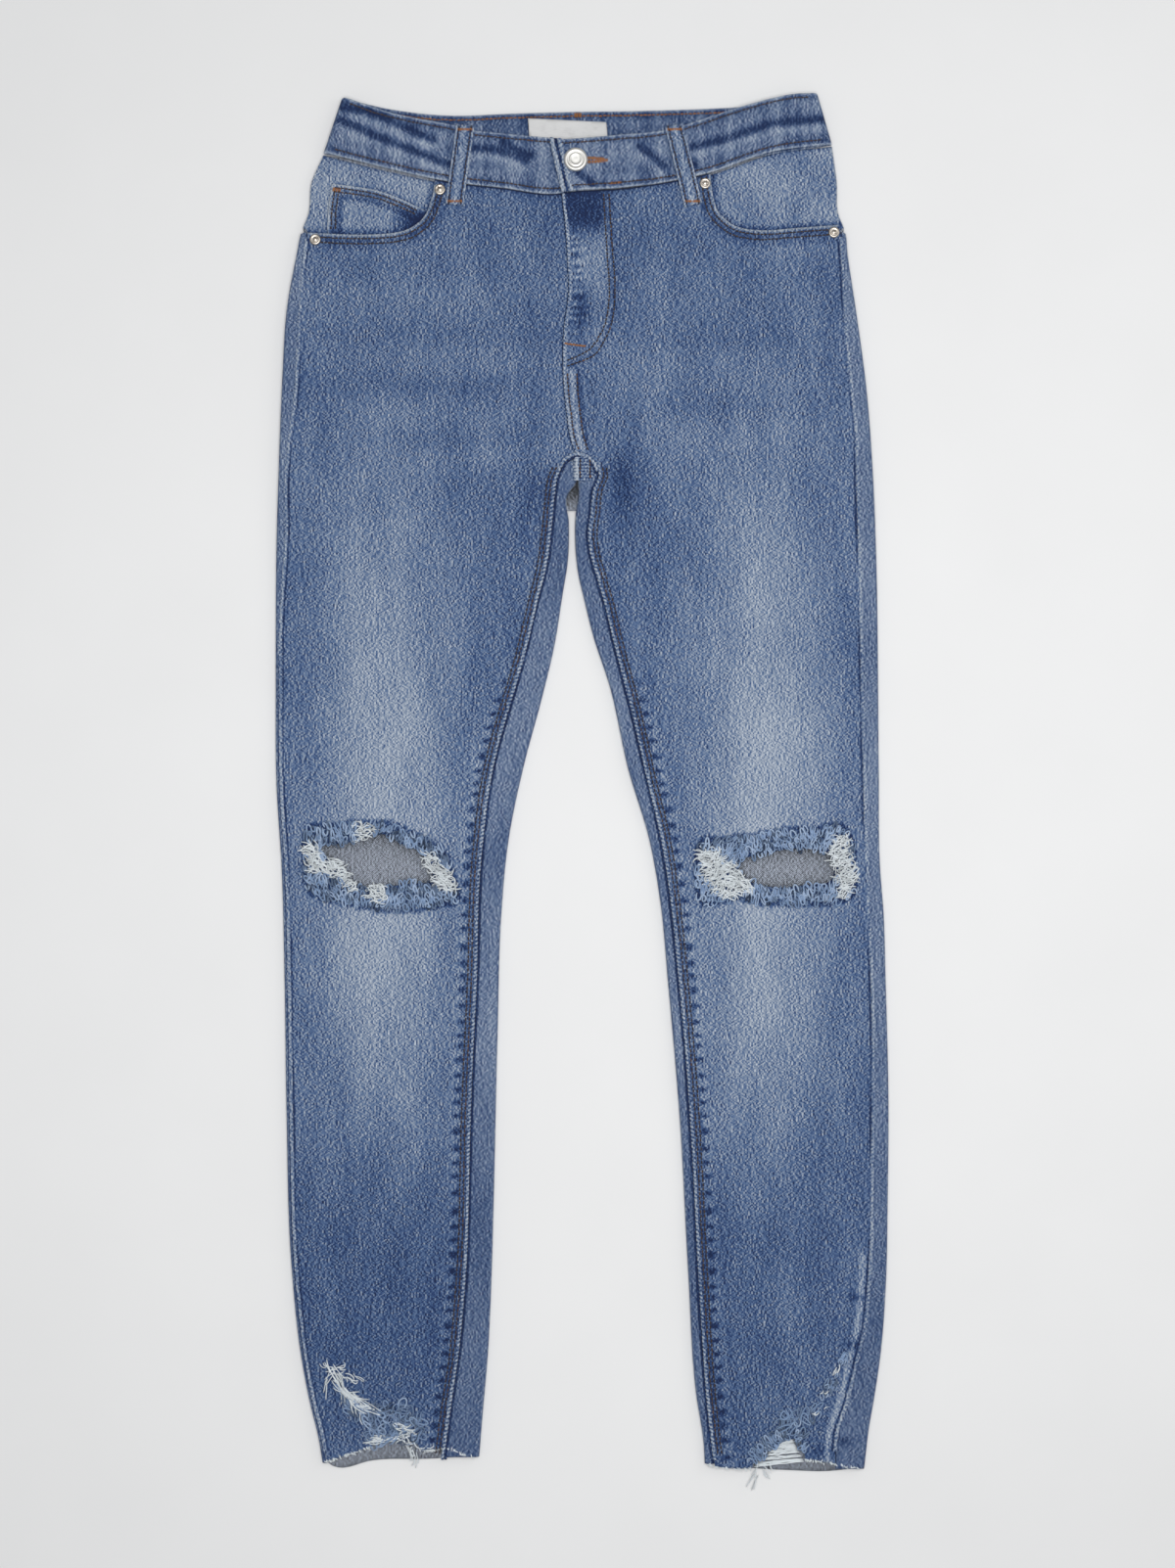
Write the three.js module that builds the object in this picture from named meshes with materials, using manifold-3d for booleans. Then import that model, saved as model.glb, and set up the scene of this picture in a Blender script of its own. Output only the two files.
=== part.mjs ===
// Skinny five-pocket jeans with ripped knees and cut hems, laid flat, front up.
// Millimetres. X runs from the wearer's right (-) to left (+), Y from hems (-) to waist (+), Z up.
import * as THREE from "three";
import { mergeVertices } from "three/addons/utils/BufferGeometryUtils.js";
import Module from "manifold-3d";

const wasm = await Module();
wasm.setup();

// ---- Driving dimensions ----
const CLOTH = 1.2; // a denim wall
const BAND = 2.2; // the waistband's doubled wall
const SEAM_GAP = 0.3; // between pieces that are sewn together or lie on each other
const STEP = CLOTH + SEAM_GAP; // one more layer of denim
const HOLLOW = 3; // the space left inside a pressed leg
const CENTRE_X = -2.8; // the centre-back seam
const TAIL = 12; // cloth next to a seat or side seam that lies flat until it turns round an edge
const ANKLE_Y = -465; // below this the rows follow the cut hem
const HIP_Y = 340; // above this the rows follow the waist seam
const LEG_TOP_Y = 120; // the legs rest on the surface below this
const SEAT_Y = 215; // the seat rests on its pockets above this
const SEAT_SEAM_END_Y = 235; // the back panels turn up between the legs below this
const CROTCH_Y = 230.5; // and are turned up whole here
const SIDE_OPEN_Y = 396; // they turn up at the sides below this
const SIDE_TURNED_Y = 393; // and are turned up whole here
const SIDE_REACH = 3.4; // the least width of the turned-up edge on the front face
const LEAST_STRIP = 0.4; // the least flat cloth between a folded edge and its seam
const FLY_FOOT_Y = 234.8; // where the fly's seam meets the inseams
const YOKE_SIDE_Y = 408;
const YOKE_CENTRE_Y = 372;
const FRAY_HEIGHT = 2.4; // how far the knee fringe stands up
const HEM_FRAY_HEIGHT = 1.2;
const BAND_OPENING = 2; // between the waistband's front and back
const LAP_FLAT_X = 28; // the lapped end is raised up to here
const LAP_DOWN_X = 46; // and is down on the other layers from here
const LOOP_WIDTH = 12.6;
const BUTTON_RADIUS = 8.5;
const RIVET_RADIUS = 4;
const LABEL_THICKNESS = 0.6;
const CUT_LOW_Z = -10; // cutting prisms start below every layer
const CUT_HEIGHT = 40; // and end above them all
const ROW_PASSES = 6; // rounds of settling a place between two curved edges
const WELD = 1e-4;

// ---- Colours ----
const denim = { color: 0x5f7daa, roughness: 0.9, metalness: 0 };
const fadedDenim = { color: 0x8499bb, roughness: 0.9, metalness: 0 };
const frayedThread = { color: 0xdfe5ec, roughness: 0.95, metalness: 0 };
const satin = { color: 0xf2f2ef, roughness: 0.45, metalness: 0 };
const nickel = { color: 0xc9ccd0, roughness: 0.3, metalness: 1 };
const copper = { color: 0xb98d68, roughness: 0.35, metalness: 1 };
const brass = { color: 0xa8864a, roughness: 0.4, metalness: 1 };

// ---- Edges of the pattern pieces as they lie: [y, x], from the hem up ----
// A smooth curve x = f(y) through the given points.
function edge(points) {
  const spline = new THREE.CubicInterpolant(
    points.map(([y]) => y),
    points.map(([, x]) => x),
    1,
  );
  return (y) => spline.evaluate(y)[0];
}

const right = {
  inward: 1,
  outline: edge([
    [-487, -185.5], [-469, -188.5], [-444, -194.6], [-410, -201], [-350, -207.5], [-234, -211.4],
    [-140, -212.8], [-61, -214.9], [0, -218.6], [75, -219.1], [168, -218.5], [218, -217],
    [290, -214.2], [343, -210.5], [378, -204], [396, -200.2], [407, -196], [430, -193.5], [450, -184.8],
  ]),
  outseam: edge([
    [-487, -183], [-410, -198.5], [-350, -205], [-234, -208.9], [-140, -210.3], [-61, -212.2],
    [0, -216], [75, -216.4], [126, -214.8], [177, -211.4], [218, -211.4], [249, -208.6],
    [280, -204.4], [308, -203], [343, -200.9], [372, -198.8], [396, -195.4],
  ]),
  inseam: edge([
    [-483, -99], [-444, -93.8], [-412, -88.9], [-350, -83.3], [-233, -79.8], [-140, -75.6],
    [-60, -72.8], [0, -65.8], [105, -37.8], [132, -31.5], [158, -25.2], [187, -21.7],
    [207, -19.6], [221, -16.8], [229, -12], [232.5, -7.5], [FLY_FOOT_Y, -3.6],
  ]),
  crease: edge([
    [-484, -73.5], [-450, -70.7], [-410, -67.2], [-350, -64.4], [-300, -63], [-180, -60.2],
    [-93, -57.4], [-42, -52.5], [13, -41.3], [60, -28.7], [98, -19.6], [136, -13.5],
    [158, -10], [186, -9.1], [207, -9.8], [216, -3.6], [221, CENTRE_X - 0.15],
  ]),
  frontHem: edge([
    [-185.5, -486.5], [-170, -481.6], [-151, -475.3], [-129.5, -472.5], [-107, -477.4],
    [-99, -475.5], [-82.6, -480.9], [-73.5, -482.3],
  ]),
  backHem: edge([
    [-185.5, -486.5], [-175, -490.7], [-151, -485.8], [-107, -484.4], [-73.5, -482.3],
  ]),
};
const left = {
  inward: -1,
  outline: edge([
    [-491, 202.3], [-462, 205.8], [-440, 209.6], [-410, 214], [-357, 218], [-300, 219.2],
    [-234, 219.8], [-140, 217.7], [-94, 216.3], [-60, 213.7], [10, 212.8], [168, 210.7],
    [218, 208.6], [283, 203.7], [343, 195.6], [378, 190.4], [396, 188.3], [407, 184],
    [430, 182.7], [456.4, 179.2],
  ]),
  outseam: edge([
    [-491, 181.3], [-462, 183.4], [-444, 189.7], [-418, 196], [-388, 203], [-357, 206],
    [-273, 208.3], [-140, 208], [-80, 205.1], [-8, 203], [115, 200.2], [177, 198.8],
    [218, 197.4], [249, 196.7], [296, 191.8], [344, 188.3], [381, 186.2], [396, 185],
  ]),
  inseam: edge([
    [-489, 95.2], [-437, 89.6], [-350, 84], [-233, 77.7], [-140, 70], [-93, 65.1], [-40, 57.4],
    [7, 46.2], [54, 35.7], [105, 22.4], [126, 17.5], [146, 11.9], [167, 6.3], [179, 5.2],
    [193, 7], [208, 8.4], [222, 12.6], [229, 9.5], [232.5, 5], [FLY_FOOT_Y, -1.4],
  ]),
  crease: edge([
    [-489, 88.2], [-475, 87.5], [-437, 81.9], [-350, 76.3], [-237, 70], [-140, 61.6],
    [-88, 56.7], [-40, 48.3], [9, 33.6], [71, 19.6], [105, 8.4], [133, 1.4], [150, -2.5],
    [172, -4.6], [193, -4.2], [207, -2.1], [216, CENTRE_X + 0.3], [221, CENTRE_X + 0.15],
  ]),
  frontHem: edge([
    [88.2, -487.2], [109.9, -490.7], [124.6, -490], [158.9, -484.4], [181.3, -487.2], [202.3, -490.7],
  ]),
  backHem: edge([
    [88.2, -487.2], [124.6, -491.4], [152.6, -492.8], [171.5, -493.5], [202.3, -490.7],
  ]),
};

// The fly's edge and the rise seam below it.
const centreFront = edge([
  [FLY_FOOT_Y, -3.5], [244, -7], [265, -10.5], [295, -13], [323, -12.6], [352, -9.1], [374, -9.8],
  [396, -11.2], [421, -14],
]);
// The seam under the waistband, y = f(x).
const waistSeam = edge([
  [-184.8, 450.1], [-140, 439], [-95.9, 429.8], [-60, 425.6], [-14.7, 421.6], [-9.8, 422.4],
  [28.7, 424.9], [67.2, 430.5], [90.3, 435.4], [140, 451.5], [179.2, 456.4],
]);
const backWaistSeam = edge([
  [-184.8, 450.1], [-95.9, 439.4], [CENTRE_X, 441.5], [47.6, 442], [116.2, 447], [179.2, 456.4],
]);

// ---- Heights of the layers ----
const smooth = (value, low, high) => THREE.MathUtils.smoothstep(value, low, high);
const mix = THREE.MathUtils.lerp;
const seatShare = (y) => smooth(y, LEG_TOP_Y, SEAT_Y);
const LEG_FRONT = CLOTH + HOLLOW; // underside of a leg's front
const SEAT_HOLLOW = 2 * STEP + SEAM_GAP; // room for a pocket facing and a coin pocket
const SEAT_FRONT = STEP + CLOTH + SEAT_HOLLOW;
const lowerMid = (y) => CLOTH / 2 + STEP * seatShare(y);
const upperMid = (y) => CLOTH / 2 + mix(LEG_FRONT, SEAT_FRONT, seatShare(y));
const FRONT_TOP = SEAT_FRONT + CLOTH;
const LEG_TOP = LEG_FRONT + CLOTH;
const BAND_BACK = STEP + BAND / 2;
const BAND_FRONT = BAND_BACK + BAND + BAND_OPENING;
const LAP_RISE = BAND + SEAM_GAP;

// ---- Shapes ----
const point = (x, y, z, nx = 0, nz = 1) => ({ x, y, z, nx, nz });

// A closed wall of the given thickness about a grid of points with their normals.
function wall(grid, thickness) {
  const rows = grid.length;
  const columns = grid[0].length;
  const positions = [];
  [0.5, -0.5].forEach((side) =>
    grid.flat().forEach((p) => {
      const out = thickness * side;
      positions.push(p.x + p.nx * out, p.y, p.z + p.nz * out);
    }),
  );
  const under = rows * columns;
  const at = (i, j) => i * columns + j;
  const triangles = [];
  const quad = (a, b, c, d) => triangles.push(a, b, c, a, c, d);
  for (let i = 0; i < rows - 1; i++)
    for (let j = 0; j < columns - 1; j++) {
      quad(at(i, j), at(i, j + 1), at(i + 1, j + 1), at(i + 1, j));
      quad(under + at(i, j), under + at(i + 1, j), under + at(i + 1, j + 1), under + at(i, j + 1));
    }
  const rim = [];
  for (let j = 0; j < columns - 1; j++) rim.push(at(0, j));
  for (let i = 0; i < rows - 1; i++) rim.push(at(i, columns - 1));
  for (let j = columns - 1; j > 0; j--) rim.push(at(rows - 1, j));
  for (let i = rows - 1; i > 0; i--) rim.push(at(i, 0));
  rim.forEach((a, k) => {
    const b = rim[(k + 1) % rim.length];
    quad(a, under + a, under + b, b);
  });
  return closedSolid(positions, triangles);
}

function closedSolid(positions, triangles) {
  const make = (order) =>
    new wasm.Manifold(
      new wasm.Mesh({
        numProp: 3,
        vertProperties: new Float32Array(positions),
        triVerts: new Uint32Array(order),
      }),
    );
  const made = make(triangles);
  if (made.volume() > 0) return made;
  return make(triangles.flatMap((v, i) => (i % 3 ? [] : [v, triangles[i + 2], triangles[i + 1]])));
}

function solidOf(geometry) {
  geometry.deleteAttribute("normal");
  geometry.deleteAttribute("uv");
  const merged = mergeVertices(geometry, WELD);
  return closedSolid(Array.from(merged.attributes.position.array), Array.from(merged.index.array));
}

function geometryOf(solid) {
  const mesh = solid.getMesh();
  const geometry = new THREE.BufferGeometry();
  geometry.setAttribute("position", new THREE.BufferAttribute(mesh.vertProperties, 3));
  geometry.setIndex(new THREE.BufferAttribute(mesh.triVerts, 1));
  geometry.computeVertexNormals();
  return geometry;
}

// A flat sheet with the given outline, from z up.
function sheet(outline, z, thickness) {
  const shape = new THREE.Shape(outline);
  const geometry = new THREE.ExtrudeGeometry(shape, { depth: thickness, bevelEnabled: false });
  geometry.translate(0, 0, z);
  return solidOf(geometry);
}

const points = (list) => list.map(([x, y]) => new THREE.Vector2(x, y));
// Points along a smooth open curve, and round a smooth closed one.
const along = (list, steps) => new THREE.SplineCurve(points(list)).getPoints(steps);
function round(list, steps) {
  const loop = list.map(([x, y]) => new THREE.Vector3(x, y, 0));
  const ring = new THREE.CatmullRomCurve3(loop, true).getPoints(steps);
  return ring.slice(0, -1).map((p) => new THREE.Vector2(p.x, p.y));
}
// A prism through every layer, to cut with.
const cutter = (outline) => sheet(outline, CUT_LOW_Z, CUT_HEIGHT);

const jeans = new THREE.Group();
function add(name, solid, finish) {
  const mesh = new THREE.Mesh(geometryOf(solid), new THREE.MeshStandardMaterial(finish));
  mesh.name = name;
  jeans.add(mesh);
}

// ---- Legs ----
const LEVELS = [
  -490, ANKLE_Y, -440, -410, -380, -350, -290, -230, -170, -110, -60, -10, 40, 90, 132, 158, 186,
  207, 216, 222, 228, CROTCH_Y, SEAT_SEAM_END_Y, 249, 265, 280, 305, 323, HIP_Y, 352, 374, 385,
];
const HEM_LEVEL = LEVELS[0];

// Moves a row's nominal height so that the first row is the hem and the last is the top seam.
function rowHeight(level, x, hem, top, topLevel) {
  if (level < ANKLE_Y) return mix(ANKLE_Y, hem(x), (ANKLE_Y - level) / (ANKLE_Y - HEM_LEVEL));
  if (level > HIP_Y) return mix(HIP_Y, top(x), (level - HIP_Y) / (topLevel - HIP_Y));
  return level;
}

// The place a share of the way across between two edges, on its row.
function acrossRow(level, share, from, to, hem, top, topLevel) {
  let y = level;
  let x = 0;
  for (let pass = 0; pass < ROW_PASSES; pass++) {
    x = mix(from(y), to(y), share);
    y = rowHeight(level, x, hem, top, topLevel);
  }
  return { x, y };
}

// How far the side seam lies in from the outline.
function sideReach(leg, y) {
  const level = Math.min(y, SIDE_TURNED_Y);
  return Math.max(Math.abs(leg.outseam(level) - leg.outline(level)), SIDE_REACH);
}

const FRONT_LEVEL_TOP = 421;
const FRONT_COLUMNS = 7;
function frontPanel(leg) {
  const side = (y) => leg.outline(y) + leg.inward * (sideReach(leg, y) + SEAM_GAP / 2);
  const middle = (y) => (y > FLY_FOOT_Y ? centreFront(y) : leg.inseam(y)) - (leg.inward * SEAM_GAP) / 2;
  const top = (x) => waistSeam(x) - SEAM_GAP;
  const levels = [...LEVELS.filter((y) => y !== SEAT_SEAM_END_Y), 396, 407, FRONT_LEVEL_TOP];
  levels.splice(levels.indexOf(CROTCH_Y) + 1, 0, FLY_FOOT_Y);
  const grid = levels.map((level) =>
    Array.from({ length: FRONT_COLUMNS + 1 }, (_, j) => {
      const at = acrossRow(level, j / FRONT_COLUMNS, side, middle, leg.frontHem, top, FRONT_LEVEL_TOP);
      return point(at.x, at.y, upperMid(at.y));
    }),
  );
  return wall(grid, CLOTH);
}

// Where the cloth is, a given way round a leg's folded edge from the lower layer, and its normal.
function roundEdge(creaseX, inward, y, way) {
  const low = lowerMid(y);
  const radius = (upperMid(y) - low) / 2;
  const centreX = creaseX + inward * (CLOTH / 2 + radius);
  const angle = way / radius - Math.PI / 2;
  if (angle < Math.PI / 2)
    return point(
      centreX - inward * radius * Math.cos(angle),
      y,
      low + radius + radius * Math.sin(angle),
      -inward * Math.cos(angle),
      Math.sin(angle),
    );
  return point(centreX + inward * (way - Math.PI * radius), y, upperMid(y));
}

const EDGE_STEPS = 4; // facets round a folded edge
const STRIP_STEPS = 2; // facets from there to the seam on the front face
const BACK_COLUMNS = 4;
// One end of a back panel's section: flat up to a seam below, or round the leg's edge to a seam on top.
function sectionEnd(y, heightAt, inward, turned, flatX, creaseX, seamX) {
  const radius = (upperMid(y) - lowerMid(y)) / 2;
  const turn = Math.PI * radius;
  const strip = Math.max(Math.abs(seamX - creaseX) - CLOTH / 2 - radius, LEAST_STRIP);
  const ways = [];
  for (let k = 0; k <= EDGE_STEPS; k++) ways.push((turn * k) / EDGE_STEPS);
  for (let k = 1; k <= STRIP_STEPS; k++) ways.push(turn + (strip * k) / STRIP_STEPS);
  if (turned) return ways.map((way) => roundEdge(creaseX, inward, y, way));
  const whole = ways[ways.length - 1];
  return ways.map((way) => {
    const x = flatX + inward * TAIL * (1 - way / whole);
    return point(x, heightAt(x), lowerMid(y), 0, -1);
  });
}

// The seam under the yoke, y = f(x).
const yokeSeam = (leg) => (x) => {
  const side = leg.outline(YOKE_SIDE_Y);
  const share = THREE.MathUtils.clamp((x - side) / (CENTRE_X - side), 0, 1);
  return mix(YOKE_SIDE_Y, YOKE_CENTRE_Y, share);
};

function backPanel(leg) {
  const top = (x) => yokeSeam(leg)(x) - SEAM_GAP;
  const topLevel = YOKE_SIDE_Y - SEAM_GAP;
  const centre = CENTRE_X - (leg.inward * SEAM_GAP) / 2;
  const levels = [...LEVELS, SIDE_TURNED_Y, SIDE_OPEN_Y, topLevel];
  const grid = levels.map((level) => {
    const edgeY = (x) => rowHeight(level, x, leg.frontHem, top, topLevel);
    const outerY = edgeY(leg.outline(level));
    const innerY = edgeY(level > CROTCH_Y ? CENTRE_X : leg.crease(level));
    const outer = sectionEnd(
      outerY,
      edgeY,
      leg.inward,
      level <= SIDE_TURNED_Y,
      leg.outline(outerY),
      leg.outline(outerY),
      leg.outline(outerY) + leg.inward * (sideReach(leg, outerY) - SEAM_GAP / 2),
    );
    const inner = sectionEnd(
      innerY,
      edgeY,
      -leg.inward,
      level <= CROTCH_Y,
      centre,
      level > CROTCH_Y ? centre : leg.crease(innerY),
      level > CROTCH_Y ? centre : leg.inseam(innerY) + (leg.inward * SEAM_GAP) / 2,
    );
    const flat = [];
    for (let j = 1; j < BACK_COLUMNS; j++) {
      const share = j / BACK_COLUMNS;
      const x = mix(outer[0].x, inner[0].x, share);
      const y = rowHeight(level, x, leg.backHem, top, topLevel);
      flat.push(point(x, y, lowerMid(y), 0, -1));
    }
    return [...outer.reverse(), ...flat, ...inner];
  });
  return wall(grid, CLOTH);
}

function yoke(leg) {
  const centre = CENTRE_X - (leg.inward * SEAM_GAP) / 2;
  const rows = 4;
  const columns = 8;
  const grid = [];
  for (let i = 0; i <= rows; i++)
    grid.push(
      Array.from({ length: columns + 1 }, (_, j) => {
        const share = j / columns;
        let y = YOKE_SIDE_Y;
        let x = 0;
        for (let pass = 0; pass < ROW_PASSES; pass++) {
          x = mix(leg.outline(y), centre, share);
          y = mix(yokeSeam(leg)(x), backWaistSeam(x) - SEAM_GAP, i / rows);
        }
        return point(x, y, lowerMid(SEAT_Y));
      }),
    );
  return wall(grid, CLOTH);
}

// ---- Front pockets ----
const mouths = {
  right: [
    [-104.6, 434], [-105.7, 424.2], [-107.4, 417], [-112, 405.3], [-120.4, 397.6], [-131, 393.6],
    [-148.4, 392], [-170, 392], [-203, 393.6],
  ],
  left: [
    [91.4, 438], [92.6, 428.4], [94.3, 417], [98.7, 406.7], [108.5, 398.6], [119, 395.6],
    [133, 394.9], [154.7, 396.6], [192, 399.4],
  ],
};
const MOUTH_STEPS = 18;
const MOUTH_CUT_X = 230; // the cut for a mouth reaches past the outseam
const MOUTH_CUT_Y = 480; // and past the waist seam
function pocketMouth(list) {
  const curve = along(list, MOUTH_STEPS);
  const end = curve[curve.length - 1];
  const outside = Math.sign(end.x) * MOUTH_CUT_X;
  return cutter([...curve, ...points([[outside, end.y], [outside, MOUTH_CUT_Y], [curve[0].x, MOUTH_CUT_Y]])]);
}

const FACING_BOTTOM_Y = 380;
const FACING_NOTCH = 9; // how far the facing's lower end is cut back from the turned-up side
const FACING_NOTCH_FROM_Y = SIDE_OPEN_Y + 1;
const FACING_NOTCH_TO_Y = SIDE_OPEN_Y + 5;
const FACING_TOP_GAP = 3 * SEAM_GAP;
// The facing runs from the side seam to behind the mouth's edge, and dips to the side seam.
function pocketFacing(leg, { innerX, depth }) {
  const sideIn = (y) => SEAM_GAP + FACING_NOTCH * (1 - smooth(y, FACING_NOTCH_FROM_Y, FACING_NOTCH_TO_Y));
  const side = (y) => leg.outline(Math.max(y, SIDE_TURNED_Y)) + leg.inward * sideIn(y);
  const rows = 8;
  const columns = 6;
  const low = SEAT_FRONT - 2 * STEP + CLOTH / 2;
  const grid = [];
  for (let i = 0; i <= rows; i++)
    grid.push(
      Array.from({ length: columns + 1 }, (_, j) => {
        const share = j / columns;
        let y = FACING_BOTTOM_Y;
        let x = 0;
        for (let pass = 0; pass < ROW_PASSES; pass++) {
          x = mix(side(y), innerX, share);
          y = mix(FACING_BOTTOM_Y, waistSeam(x) - FACING_TOP_GAP, i / rows);
        }
        const under = SEAT_FRONT - depth * STEP + CLOTH / 2;
        return point(x, y, mix(low, under, Math.min(share * 2, 1)));
      }),
    );
  return wall(grid, CLOTH);
}

// How far in each facing reaches, and how many layers down it lies: the right one is under the coin pocket.
const facings = { right: { innerX: -92, depth: 2 }, left: { innerX: 80, depth: 1 } };

const COIN_TOP_STEPS = 6;
const coinPocketOutline = [
  ...along([[-178.5, 428.4], [-171.5, 427.7], [-148.4, 424.2], [-131.6, 418.6], [-112, 409.5]], COIN_TOP_STEPS),
  ...points([[-108, 378], [-178, 380], [-182, 396], [-181, 412]]),
];

// ---- Rips and hem tears ----
const RIP_STEPS = 26;
const FRINGE_STEPS = 30;
const rips = {
  right: [
    [-189, -46.9], [-166, -42.5], [-143, -36.4], [-128, -44], [-115, -49.5], [-108, -62.3],
    [-106, -70.5], [-122.5, -72.1], [-148.4, -74.9], [-163, -73], [-171, -61.5],
  ],
  left: [
    [111.3, -56.7], [124, -52], [152.6, -46.9], [175.7, -50.4], [180.6, -62], [177, -71],
    [159.6, -73], [142.1, -74.9], [121, -71],
  ],
};
const fringes = {
  right: [
    [-197.4, -31], [-180, -28.5], [-147, -25.9], [-130, -29.5], [-98.7, -46.2], [-90.5, -66],
    [-86.8, -84.5], [-105, -90.3], [-130, -93.5], [-158.9, -90.3], [-182, -84.5], [-197.4, -77],
    [-200.5, -54],
  ],
  left: [
    [83.3, -40.5], [107, -37.1], [140, -32.5], [166, -30.1], [190, -31], [197, -56], [194, -82.6],
    [166, -88.2], [133.7, -88.9], [110, -84.4], [86, -89], [80.5, -65],
  ],
};
const hemTears = {
  right: [
    [-148.4, -480], [-149.8, -473], [-138, -470.5], [-128, -470], [-118, -472], [-113.5, -480],
  ],
  left: [[119, -495], [124.6, -484.4], [146, -470], [156, -469], [159, -478], [161, -492]],
};
const hemFrays = {
  right: [
    [-184.8, -418.6], [-178, -413.7], [-164.5, -415.1], [-160.3, -426.3], [-145.6, -443.1],
    [-127.4, -442.4], [-113.4, -452.2], [-112, -466.2], [-118.3, -473.9], [-138.6, -471.8],
    [-149.8, -476], [-154.7, -462], [-172.2, -446.6], [-181.3, -429.8],
  ],
  left: [
    [188.3, -413], [193.2, -411.6], [193.9, -420], [187.6, -432.6], [181, -444], [170.8, -455.7],
    [162.4, -466.9], [163.8, -485.5], [122.5, -491], [119, -483], [133, -471.1], [137.9, -455],
    [157.5, -447.3], [172.9, -433.3], [182, -420],
  ],
};

// ---- Waistband ----
const bands = {
  right: {
    end: [[12.6, 458.5], [12.6, 421.5]],
    top: [[-23.1, 461.3], [-77, 466.2], [-90.3, 469.7], [-137.2, 478.8]],
    corner: [[-171.5, 490], [-184.8, 450.1]],
    back: [[-137.2, 482.3], [-95.9, 478.1], [-49, 479.6]],
    centre: [CENTRE_X - SEAM_GAP / 2, 480.9],
  },
  left: {
    end: [[-22.4, 461.3], [-13.3, 421.8]],
    top: [[-9.8, 459.9], [47.6, 464.8], [72.8, 469.7], [119, 484.4], [150, 492]],
    corner: [[168.5, 493.4], [179.2, 456.4]],
    back: [[150, 490.5], [116.2, 484.4], [47.6, 481.6]],
    centre: [CENTRE_X + SEAM_GAP / 2, 480.9],
  },
};
const BAND_ROWS = 3;
const BAND_EDGE_STEPS = 4;
const FRONT_SECTIONS = 12;
const BACK_SECTIONS = 8;
function waistband(leg, band, lap) {
  const radius = (BAND_FRONT - BAND_BACK) / 2;
  const [cornerTop, cornerBottom] = band.corner;
  const frontTop = along([band.end[0], ...band.top, cornerTop], FRONT_SECTIONS);
  const backTop = along([cornerTop, ...band.back, band.centre], BACK_SECTIONS);
  // The seam edge below a place on the top edge, square to the band.
  const seamBelow = (seam, startX, endX, share) => {
    const x = mix(startX, endX, share);
    return { x, y: seam(x) };
  };
  const inset = leg.inward * (radius + BAND / 2);
  const grid = [];
  const section = (top, bottom, z, nx, nz, shiftX, raised = 0) =>
    grid.push(
      Array.from({ length: BAND_ROWS + 1 }, (_, k) => {
        const share = k / BAND_ROWS;
        const x = mix(top.x, bottom.x, share) + shiftX;
        const rise = raised * (1 - smooth(x, LAP_FLAT_X, LAP_DOWN_X));
        return point(x, mix(top.y, bottom.y, share), z + rise, nx, nz);
      }),
    );
  frontTop.forEach((top, i) => {
    const share = i / FRONT_SECTIONS;
    const startX = frontTop[0].x;
    const endX = cornerTop[0];
    const reach = (top.x - startX) / (endX - startX);
    const bottom = seamBelow(waistSeam, band.end[1][0], cornerBottom[0], reach);
    section(top, bottom, BAND_FRONT, 0, 1, inset * share, lap);
  });
  for (let k = 1; k < BAND_EDGE_STEPS; k++) {
    const angle = (Math.PI * k) / BAND_EDGE_STEPS;
    const out = -leg.inward * Math.sin(angle);
    section(
      { x: cornerTop[0], y: cornerTop[1] },
      { x: cornerBottom[0], y: cornerBottom[1] },
      BAND_BACK + radius + radius * Math.cos(angle),
      out,
      Math.cos(angle),
      inset + out * radius,
    );
  }
  backTop.forEach((top, i) => {
    const reach = (top.x - cornerTop[0]) / (band.centre[0] - cornerTop[0]);
    const bottom = seamBelow(backWaistSeam, cornerBottom[0], band.centre[0], reach);
    section(top, bottom, BAND_BACK, 0, -1, inset * (1 - i / BACK_SECTIONS));
  });
  return wall(grid, BAND);
}

const button = { x: -4.2, y: 444.5 };
const SHANK_RADIUS = 2.2;
const BUTTONHOLE_EYE = 2.8;
const BUTTONHOLE_END_X = 15.8;
const BUTTONHOLE_WIDTH = 1.2;
const BUTTONHOLE_STEPS = 8;
function buttonhole() {
  const half = BUTTONHOLE_WIDTH / 2;
  const start = Math.asin(half / BUTTONHOLE_EYE);
  const outline = new THREE.Path();
  outline.absarc(button.x, button.y, BUTTONHOLE_EYE, start, 2 * Math.PI - start, false);
  outline.lineTo(BUTTONHOLE_END_X, button.y - half);
  outline.lineTo(BUTTONHOLE_END_X, button.y + half);
  return cutter(outline.getPoints(BUTTONHOLE_STEPS));
}

// ---- Belt loops ----
const LOOP_SLACK = 1.1;
const LOOP_STEPS = 8;
// The shares of a front loop's length between which it steps down from the waistband to the panel.
const LOOP_STEP_START = 0.8;
const LOOP_STEP_END = 0.97;
const frontLoops = { right: [[-82.9, 469.5], [-90.8, 413]], left: [[65.8, 469.5], [79.8, 413]] };
function frontLoop([topPoint, bottomPoint]) {
  const over = BAND_FRONT + BAND / 2 + SEAM_GAP + CLOTH / 2;
  const onPanel = FRONT_TOP + SEAM_GAP + CLOTH / 2;
  const grid = [];
  for (let i = 0; i <= LOOP_STEPS; i++) {
    const share = i / LOOP_STEPS;
    const x = mix(topPoint[0], bottomPoint[0], share);
    const y = mix(topPoint[1], bottomPoint[1], share);
    const down = smooth(share, LOOP_STEP_START, LOOP_STEP_END);
    const z = mix(over, onPanel, down) + LOOP_SLACK * Math.sin(Math.PI * share);
    grid.push([point(x - LOOP_WIDTH / 2, y, z), point(x + LOOP_WIDTH / 2, y, z)]);
  }
  return wall(grid, CLOTH);
}
const LOOP_LENGTH = 56;
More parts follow.
